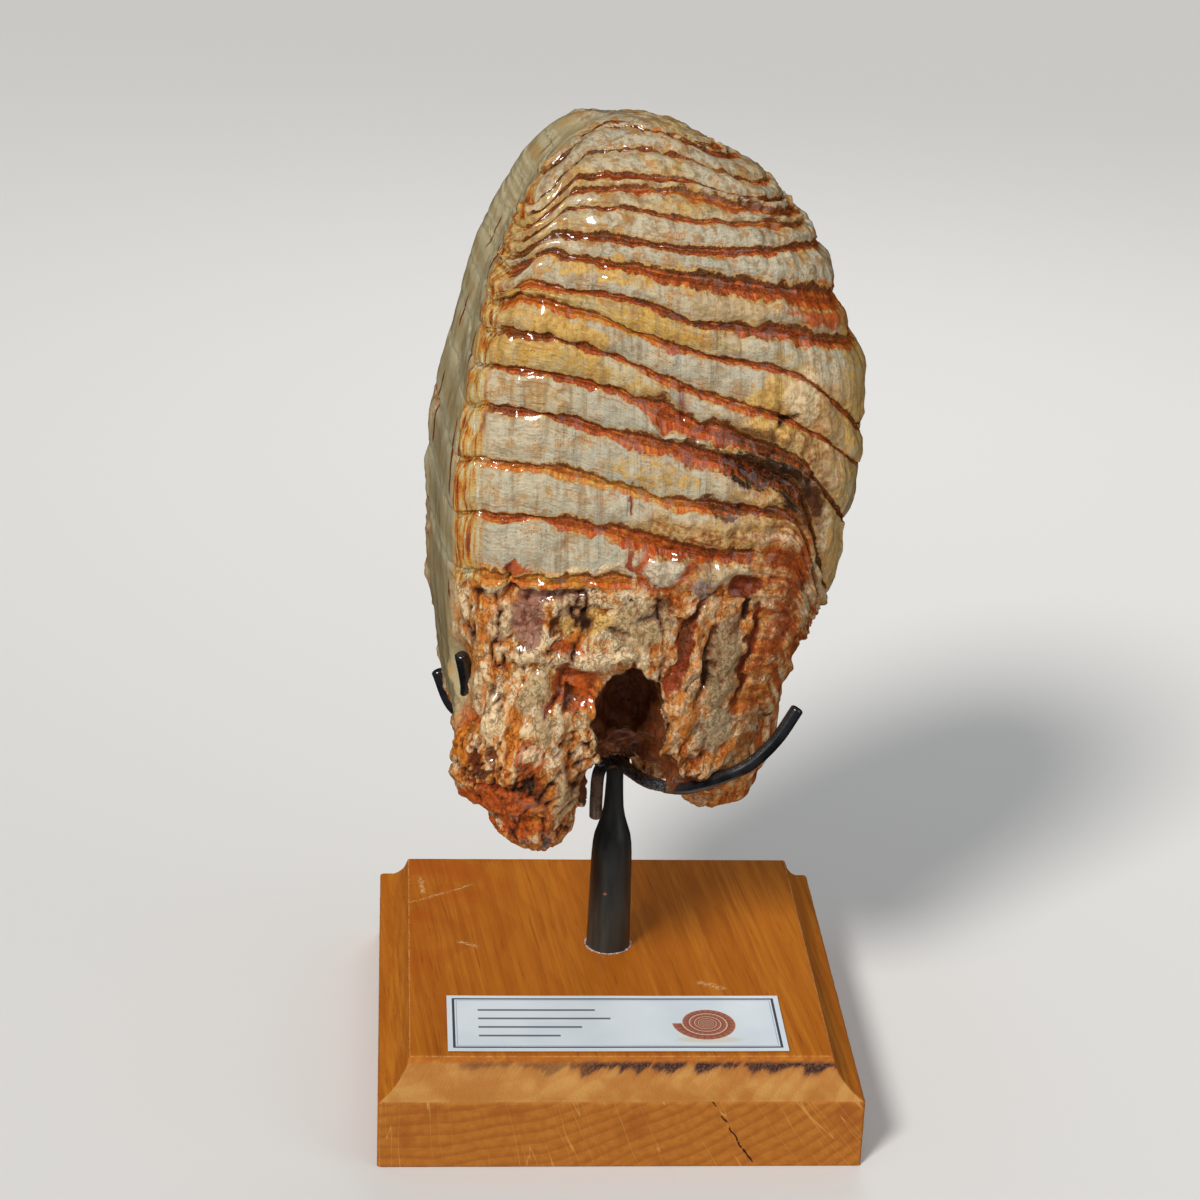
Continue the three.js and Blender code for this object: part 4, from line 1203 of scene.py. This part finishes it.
def lobeMesh(name, rings):
    table = np.array(rings, float)
    count = int((table[-1, 0] - table[0, 0]) / 0.8)
    heights = np.linspace(table[-1, 0], table[0, 0], count)
    middleX, middleY, halfX, halfY = (
        curveThrough(table[:, 0], table[:, k], heights)[:, None] for k in (1, 2, 3, 4))
    columns = int(2 * np.pi * table[:, 3].max() / 0.9)
    angles = np.linspace(0, 2 * np.pi, columns, endpoint=False)[None, :]
    grid = np.stack([middleX + halfX * np.cos(angles), middleY + halfY * np.sin(angles),
                     heights[:, None] + 0 * angles], -1)
    grid = unturned(grid)
    normals = gridNormals(grid)
    along = grid[..., 0] * 0.7 + 200
    flank = smooth(grid[..., 0], 10, 30)
    relief, split = rootRelief(grid, along, flank)
    raised, tint, share = formFacts(grid)
    relief = (0.7 - 0.4 * share) * relief + raised
    if name == "frontLeft":     # its upper part lies inside the body's swelling
        relief = relief - 1.2 - 2 * smooth(grid[..., 2], 92, 100)
    moved = grid + normals * relief[..., None]
    facts = {**rootFacts(grid), "flank": flank, "relief": relief, "along": along, "split": split,
             "tint": tint, "share": share}
    bottom = (*grid[-1].mean(axis=0)[:2], table[0, 0] - 0.4)
    top = (*grid[0].mean(axis=0)[:2], table[-1, 0] + 2)
    return gridMesh(name, moved, facts, bottom, top)


def hollowMesh(name, hollow):
    rowCount, columnCount = 50, 90
    turn = np.linspace(0.06, np.pi - 0.06, rowCount)[:, None]
    angles = np.linspace(0, 2 * np.pi, columnCount, endpoint=False)[None, :]
    level = np.cos(turn) + 0 * angles
    ball = np.stack([np.sin(turn) * np.cos(angles), np.sin(turn) * np.sin(angles), level], -1)
    grid = unturned(np.array(hollow["middle"]) + ball * np.array(hollow["size"]))
    relief = 1.3 * lumps(grid, 6, 30) + 0.7 * lumps(grid, 2.6, 31)
    moved = grid + ball * relief[..., None]
    blank = np.zeros(grid.shape[:2])
    # painted shade: the hollow's inside is tinted brown and darkened like the splits
    facts = {**rootFacts(grid), "relief": -relief, "split": blank + 0.5, "share": blank + 0.9,
             "tint": blank[..., None] + hues["brown"]}
    middle = unturned(np.array(hollow["middle"], float))
    poles = [middle + np.array([0, 0, side * (hollow["size"][2] + 0.2)]) for side in (-1, 1)]
    return gridMesh(name, moved, facts, poles[0], poles[1])


def carve(mesh, tool, operation):
    pair = [bpy.data.objects.new(data.name, data) for data in (mesh, tool)]
    for thing in pair:
        bpy.context.collection.objects.link(thing)
    cut = pair[0].modifiers.new("cut", "BOOLEAN")
    cut.operation = operation
    cut.solver = "MANIFOLD"
    cut.object = pair[1]
    result = evaluatedMesh(pair[0])
    for thing in pair:
        bpy.data.objects.remove(thing)
    return result


def makeTooth(material):
    mesh = toothBody()
    print("tooth body has", len(mesh.polygons), "faces")
    for name, rings in lobes.items():
        mesh = carve(mesh, lobeMesh(name, rings), "UNION")
    for k, hollow in enumerate(hollows):
        mesh = carve(mesh, hollowMesh(f"hollow{k}", hollow), "DIFFERENCE")
    mesh.validate()
    lean, yaw = math.radians(tooth["lean"]), math.radians(tooth["yaw"])
    turn = Matrix.Rotation(lean, 4, "Y") @ Matrix.Rotation(yaw, 4, "Z")
    toMetres(mesh, turn)
    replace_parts(newPiece("molar_fossil", mesh, material), "molar")
    print("tooth has", sum(len(p.vertices) - 2 for p in mesh.polygons), "triangles")


# Colour ramps of the fossil, from low to high
fossil = {
    "plates": [
        (0.0, (0.45, 0.41, 0.30)), (0.3, (0.51, 0.45, 0.32)), (0.55, (0.57, 0.46, 0.29)),
        (0.75, (0.58, 0.40, 0.15)), (1.0, (0.59, 0.34, 0.06)),
    ],
    "granules": [
        (0.36, (0.11, 0.040, 0.012)), (0.43, (0.30, 0.09, 0.018)), (0.50, (0.46, 0.21, 0.045)),
        (0.57, (0.55, 0.37, 0.15)), (0.68, (0.60, 0.48, 0.30)),
    ],
    "seams": [
        (0.0, (0.085, 0.022, 0.006)), (0.22, (0.19, 0.030, 0.005)), (0.42, (0.46, 0.050, 0.005)),
        (0.58, (0.60, 0.13, 0.010)), (0.78, (0.66, 0.28, 0.03)), (1.0, (0.70, 0.48, 0.14)),
    ],
    "corner": [
        (0.34, (0.20, 0.030, 0.006)), (0.42, (0.48, 0.11, 0.010)), (0.48, (0.58, 0.25, 0.03)),
        (0.54, (0.58, 0.38, 0.11)), (0.61, (0.56, 0.46, 0.25)), (0.70, (0.72, 0.66, 0.48)),
    ],
    "roots": [
        (0.30, (0.17, 0.028, 0.006)), (0.42, (0.42, 0.085, 0.010)), (0.49, (0.58, 0.20, 0.030)),
        (0.57, (0.66, 0.38, 0.15)), (0.68, (0.80, 0.60, 0.36)),
    ],
}


def fossilFinish():
    material, nodes, shader = newMaterial("varnishedFossil")
    point = nodes.places()
    x, _, z = nodes.axes(point)
    plate, tint = nodes.attribute("plate", "Vector"), nodes.attribute("tint", "Vector")
    names = ("seamFar", "seamSide", "stain", "tone", "bandEdge", "crack", "relief", "along")
    seamFar, seamSide, stain, tone, bandEdge, crack, relief, along = map(nodes.attribute, names)
    names = ("wear", "bundle", "root", "flank", "split", "turn", "rough", "share")
    wear, bundle, root, flank, split, turn, rough, share = map(nodes.attribute, names)

    broad = nodes.noise(point, 13, 2)
    patchy = nodes.noise(point, 5, 4, 0.6)
    mottle = nodes.noise(nodes.shift(point, (40, 0, 0)), 3, 4, 0.65)
    fine = nodes.noise(point, 1.3, 3, 0.6)
    grain = nodes.noise(point, 0.45, 2, 0.6)
    columns = nodes.noise(nodes.stretch(plate, (1, 1, 0.06)), 2.2, 3, 0.55)
    ripples = nodes.noise(nodes.stretch(plate, (0.3, 0.3, 1)), 0.6, 3, 0.6)
    strandTone = nodes.noise(nodes.stretch(plate, (1, 1, 0.2)), 1.1, 3, 0.6)
    upright = nodes.noise(nodes.stretch(point, (1, 1, 0.06)), 1.3, 4, 0.6)

    # Plates: grey, cream or ochre, with brown between their upright columns
    # painted shade: brown mottling, specks and tan grow towards the top so that the top reads dimmer
    high = z.step(200, 255)
    hue = tone + (broad - 0.5) * 1.0 + (patchy - 0.5) * 1.2 + 0.05
    tan = (patchy - 0.52).step(0.0, 0.06) * (fine - 0.42).step(0.0, 0.12)
    trace = abs(bandEdge - 0.58 + (broad - 0.5) * 1.1).step(0.07, 0.0) * patchy.step(0.47, 0.55)
    granules = nodes.ramp(fine * 0.55 + mottle * 0.3 + patchy * 0.15, fossil["granules"])
    cream = nodes.layers(nodes.ramp(hue, fossil["plates"]), [
        (mottle.step(0.50, 0.64) * (0.55 + high * 0.4), (0.32, 0.20, 0.10)),
        # painted highlight: pale mottled patches
        (mottle.step(0.44, 0.32) * 0.4, (0.60, 0.53, 0.38)),
        (columns.step(0.46, 0.36) * 0.5, (0.30, 0.17, 0.06)),
        # painted shade in the ripples' troughs and painted highlight on their crests, following the ripples
        # that the bump raises
        (ripples.step(0.47, 0.37) * 0.4, (0.30, 0.22, 0.11)),
        (ripples.step(0.55, 0.66) * 0.35, (0.68, 0.61, 0.44)),
        (fine.step(0.46, 0.34) * 0.3 * (0.5 + high), (0.30, 0.20, 0.11)),
        (tan * (0.5 + high * 0.3), (0.46, 0.20, 0.05)),
        (trace * 0.6, (0.36, 0.13, 0.025)),
        (rough * (0.9 - wear), granules),
    ])

    # Seams: red to orange strands under a painted shadow line along the upper plate's edge, between ochre
    # fringes; dark forms lie over them
    # high also darkens the seams towards the top, a painted shade
    seamTone = stain - 0.04 - high * 0.1 + (strandTone - 0.5) * 1.2 + (mottle - 0.5) * 0.6
    # painted shadow: a dark line along the upper edge of each seam, under the plate above
    under = (0 - seamSide - (fine - 0.5) * 0.8).step(0.35, 0.85)
    seamStainAndShadow = nodes.blend(under * 0.75, nodes.ramp(seamTone, fossil["seams"]), (0.060, 0.018, 0.006))
    ragged = seamFar + (fine - 0.5) * 1.0 + (mottle - 0.5) * 2.2
    inSeam = (1.4 - ragged).step(0.0, 0.25) * (1 - wear)
    fringe = (2.6 - ragged).step(0.0, 1.2) * (1 - wear)
    fringeColour = nodes.blend(fine.step(0.42, 0.6), (0.46, 0.17, 0.02), (0.58, 0.37, 0.11))
    dim, bright = nodes.stretch(tint, (0.80, 0.68, 0.60)), nodes.stretch(tint, (1.12, 1.14, 1.2))
    formColour = nodes.blend(fine.step(0.38, 0.62), dim, bright)
    formShare = (share + (mottle - 0.5) * 1.0 + (fine - 0.5) * 0.6).step(0.32, 0.6) * 0.92
    tintRed, _, _ = nodes.axes(tint)
    broken = (fine * 0.5 + mottle * 0.5).step(0.46, 0.52)
    plateColour = nodes.layers(cream, [
        (formShare, formColour), (fringe * 0.75, fringeColour),
        (inSeam * (0.75 + (grain - 0.5).step(-0.1, 0.1) * 0.25), seamStainAndShadow),
        (formShare * tintRed.step(0.22, 0.12) * broken, formColour),
    ])

    # Worn face: low loops of enamel, brown slits, and at the corner strands from red-brown to white
    slitSides = abs(turn - 0.905 + (patchy - 0.5) * 0.03).step(0.012, 0.004)
    slit = slitSides * nodes.noise(nodes.stretch(point, (0, 0, 1)), 22, 1).step(0.5, 0.53)
    worn = nodes.blend(bandEdge.step(0.35, 0.75), (0.45, 0.365, 0.195), (0.54, 0.46, 0.275))
    worn = nodes.layers(worn, [
        (patchy.step(0.5, 0.62) * bandEdge.step(0.9, 0.5) * 0.6, (0.50, 0.27, 0.08)),
        (upright.step(0.48, 0.38) * 0.4, (0.42, 0.26, 0.09)),
    ])
    plateColour = nodes.layers(plateColour, [
        (wear, worn), (slit * wear.most(bundle).step(0.0, 0.3), (0.22, 0.045, 0.01)),
        (bundle * 0.95, nodes.ramp(upright + (patchy - 0.5) * 0.35, fossil["corner"])),
    ])

    # Roots: cream where raised, partly a painted highlight; orange washed over it; red-brown to near black in
    # the splits and low folds, partly cracks and partly painted shade
    lying = nodes.shift(nodes.vector(along), nodes.stretch(point, (0.12, 0.12, 0.1)))
    fibreA = nodes.noise(nodes.stretch(point, (1, 1, 0.45)), 2.6, 5, 0.65)
    fibreB = nodes.noise(lying, 1.7, 5, 0.65)
    fibre = fibreA * (1 - flank) + fibreB * flank
    reddened = x.step(2, 12).most(z.step(124, 96))
    # relief lightens the raised parts and darkens the recesses: painted highlight and painted shade
    rootTone = fibre * 1.25 - 0.015 + relief * 0.045 - flank * 0.03 - reddened * 0.055
    wash = nodes.blend(flank, (0.60, 0.19, 0.02), (0.40, 0.085, 0.014))
    rootColour = nodes.layers(nodes.ramp(rootTone, fossil["roots"]), [
        (reddened * 0.22, (0.42, 0.10, 0.02)), (mottle.step(0.52, 0.59) * 0.75, wash),
        (formShare, formColour),
    ])
    veins = abs(nodes.noise(nodes.stretch(point, (1, 1, 0.7)), 3.4, 5, 0.7) - 0.5).step(0.022, 0.0) * root
    # darker in the splits: partly dark cracks, partly painted shade in the creases and low folds
    crackAndShade = (split + (fine - 0.5) * 0.5).step(0.25, 0.65)
    deepestCrackShade = (split + (grain - 0.5) * 0.5).step(0.62, 0.95)
    specks = nodes.cells(point, 1.1).step(0.16, 0.05) * nodes.noise(point, 7, 1).step(0.5, 0.65)
    colour = nodes.layers(plateColour, [
        (root, rootColour), (crackAndShade * root * 0.62, (0.20, 0.032, 0.006)),
        (deepestCrackShade * root, (0.030, 0.011, 0.005)), (veins * 0.28, (0.30, 0.07, 0.012)),
        (crack * 0.8, (0.24, 0.035, 0.008)), (specks * 0.6, (0.16, 0.06, 0.02)),
    ])

    height = grain * 0.35 + fine * 0.65 + (columns * 2 + ripples * 0.8) * (1 - root) * (1 - wear)
    height = height + root * (fibre * 2.0 + mottle * 1.0 + fine * 0.4) * (1 - formShare * 0.5)
    height = height + bundle * upright * 2.0 - specks * 0.8 - crackAndShade * 0.4 * root - veins * 0.6
    height = height + rough * fine * 1.2 + inSeam * strandTone * 0.8
    roughness = 0.22 + grain * 0.22 + wear * 0.1 - inSeam * 0.08
    setShader(nodes, shader, {
        "Base Color": colour, "Roughness": roughness, "Normal": nodes.bump(height, 0.5),
    }, {"IOR": 1.5, "Specular IOR Level": 0.2, "Coat Weight": 0.9, "Coat Roughness": 0.12})
    return material


makeTooth(fossilFinish())


# Card: ruled border, a shell spiral and four plain lines

card = {
    "middle": (-0.7, -40.25), "width": 91.4, "depth": 29, "bottom": 29.5, "thick": 0.26,     # mm
    "border": 1.4, "borderWidth": 0.7, "shell": (24, -40.5), "shellRadius": 9.5, "growth": 0.36,
    "lines": [(-38, -6, -33.5), (-38, -2, -38), (-38, -10, -42.5), (-38, -16, -47)],     # from, to, y
}


def makeCard(material):
    columns, rows = 92, 30
    x = np.linspace(-0.5, 0.5, columns)[None, :] * card["width"] + card["middle"][0]
    y = np.linspace(-0.5, 0.5, rows)[:, None] * card["depth"] + card["middle"][1]
    along = abs(x - card["middle"][0]) / card["width"] * 2
    corner = smooth(along + abs(y - card["middle"][1]) / card["depth"] * 2, 1.7, 2)
    flat = np.stack([x + 0 * y, y + 0 * x, 0 * x * y], -1)
    lift = 0.06 * corner + 0.025 * (1 + lumps(flat, 22, 61))
    bottom = flat + (0, 0, 1) * (card["bottom"] + lift)[..., None]
    top = bottom + (0, 0, card["thick"])
    points = np.concatenate([bottom.reshape(-1, 3), top.reshape(-1, 3)])
    at = np.arange(rows * columns).reshape(rows, columns)
    cells = np.stack([at[:-1, :-1], at[1:, :-1], at[1:, 1:], at[:-1, 1:]], -1).reshape(-1, 4)
    faces = cells.tolist() + (cells[:, ::-1] + rows * columns).tolist()
    rim = np.concatenate([at[0, :-1], at[:-1, -1], at[-1, :0:-1], at[:0:-1, 0]])
    pairs = zip(rim.tolist(), np.roll(rim, -1).tolist())
    faces += [(a, b, b + rows * columns, a + rows * columns) for a, b in pairs]
    mesh = bpy.data.meshes.new("card")
    mesh.from_pydata((points * mm).tolist(), [], faces)
    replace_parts(newPiece("label_card", mesh, material), "label")


def cardFinish():
    material, nodes, shader = newMaterial("printedCard")
    point = nodes.places()
    x, y, z = nodes.axes(point)
    fine = nodes.noise(point, 0.4, 2)
    fromSide = card["width"] / 2 - abs(x - card["middle"][0])
    fromEnd = card["depth"] / 2 - abs(y - card["middle"][1])
    inset = fromSide.least(fromEnd) - card["border"]
    half = card["borderWidth"] / 2
    border = abs(inset - half).step(half + 0.05, half - 0.05)
    hairline = abs(inset - card["borderWidth"] - 0.5).step(0.16, 0.08)
    colour = nodes.blend(nodes.noise(point, 20, 2).step(0.3, 0.7), (0.60, 0.67, 0.72), (0.68, 0.74, 0.78))

    sideways, upward = x - card["shell"][0], y - card["shell"][1]
    far = ((sideways * sideways + upward * upward) ** 0.5).most(0.05)
    turn = nodes.sum("ARCTAN2", upward, sideways) / (2 * math.pi) + 0.5
    whorl = (far / card["shellRadius"]).sum("LOGARITHM", math.e) / card["growth"] + turn
    inShell = whorl.step(0.03, -0.03)
    between = whorl.sum("FLOORED_MODULO", 1.0)
    ribs = (turn * 26).sum("FRACT")
    shell = nodes.blend(between, (0.26, 0.07, 0.035), (0.42, 0.15, 0.08))
    shell = nodes.blend(ribs.step(0.55, 0.95) * 0.6, shell, (0.16, 0.06, 0.10))
    shell = nodes.blend(between.step(0.12, 0.02).most(between.step(0.92, 0.99)), shell, (0.70, 0.62, 0.48))
    shade = ((sideways * sideways) / 120 + (upward + card["shellRadius"] * 0.9) ** 2.0 / 4).step(1.0, 0.3)
    colour = nodes.blend(shade * 0.5, colour, (0.62, 0.50, 0.28))
    colour = nodes.blend(inShell, colour, shell)
    for start, stop, line in card["lines"]:
        ends = x.step(start - 0.1, start + 0.1) * x.step(stop + 0.1, stop - 0.1)
        mark = abs(y - line).step(0.55, 0.4) * ends
        colour = nodes.blend(mark * 0.85, colour, (0.06, 0.06, 0.08))
    colour = nodes.blend(border, colour, (0.05, 0.06, 0.09))
    colour = nodes.blend(hairline * 0.6, colour, (0.20, 0.22, 0.26))
    colour = nodes.blend(z.step(29.74, 29.70), colour, (0.55, 0.58, 0.60))
    setShader(nodes, shader, {
        "Base Color": colour, "Roughness": 0.38 + fine * 0.1, "Normal": nodes.bump(fine, 0.02),
    }, {"IOR": 1.5})
    return material


makeCard(cardFinish())
print("card is made")
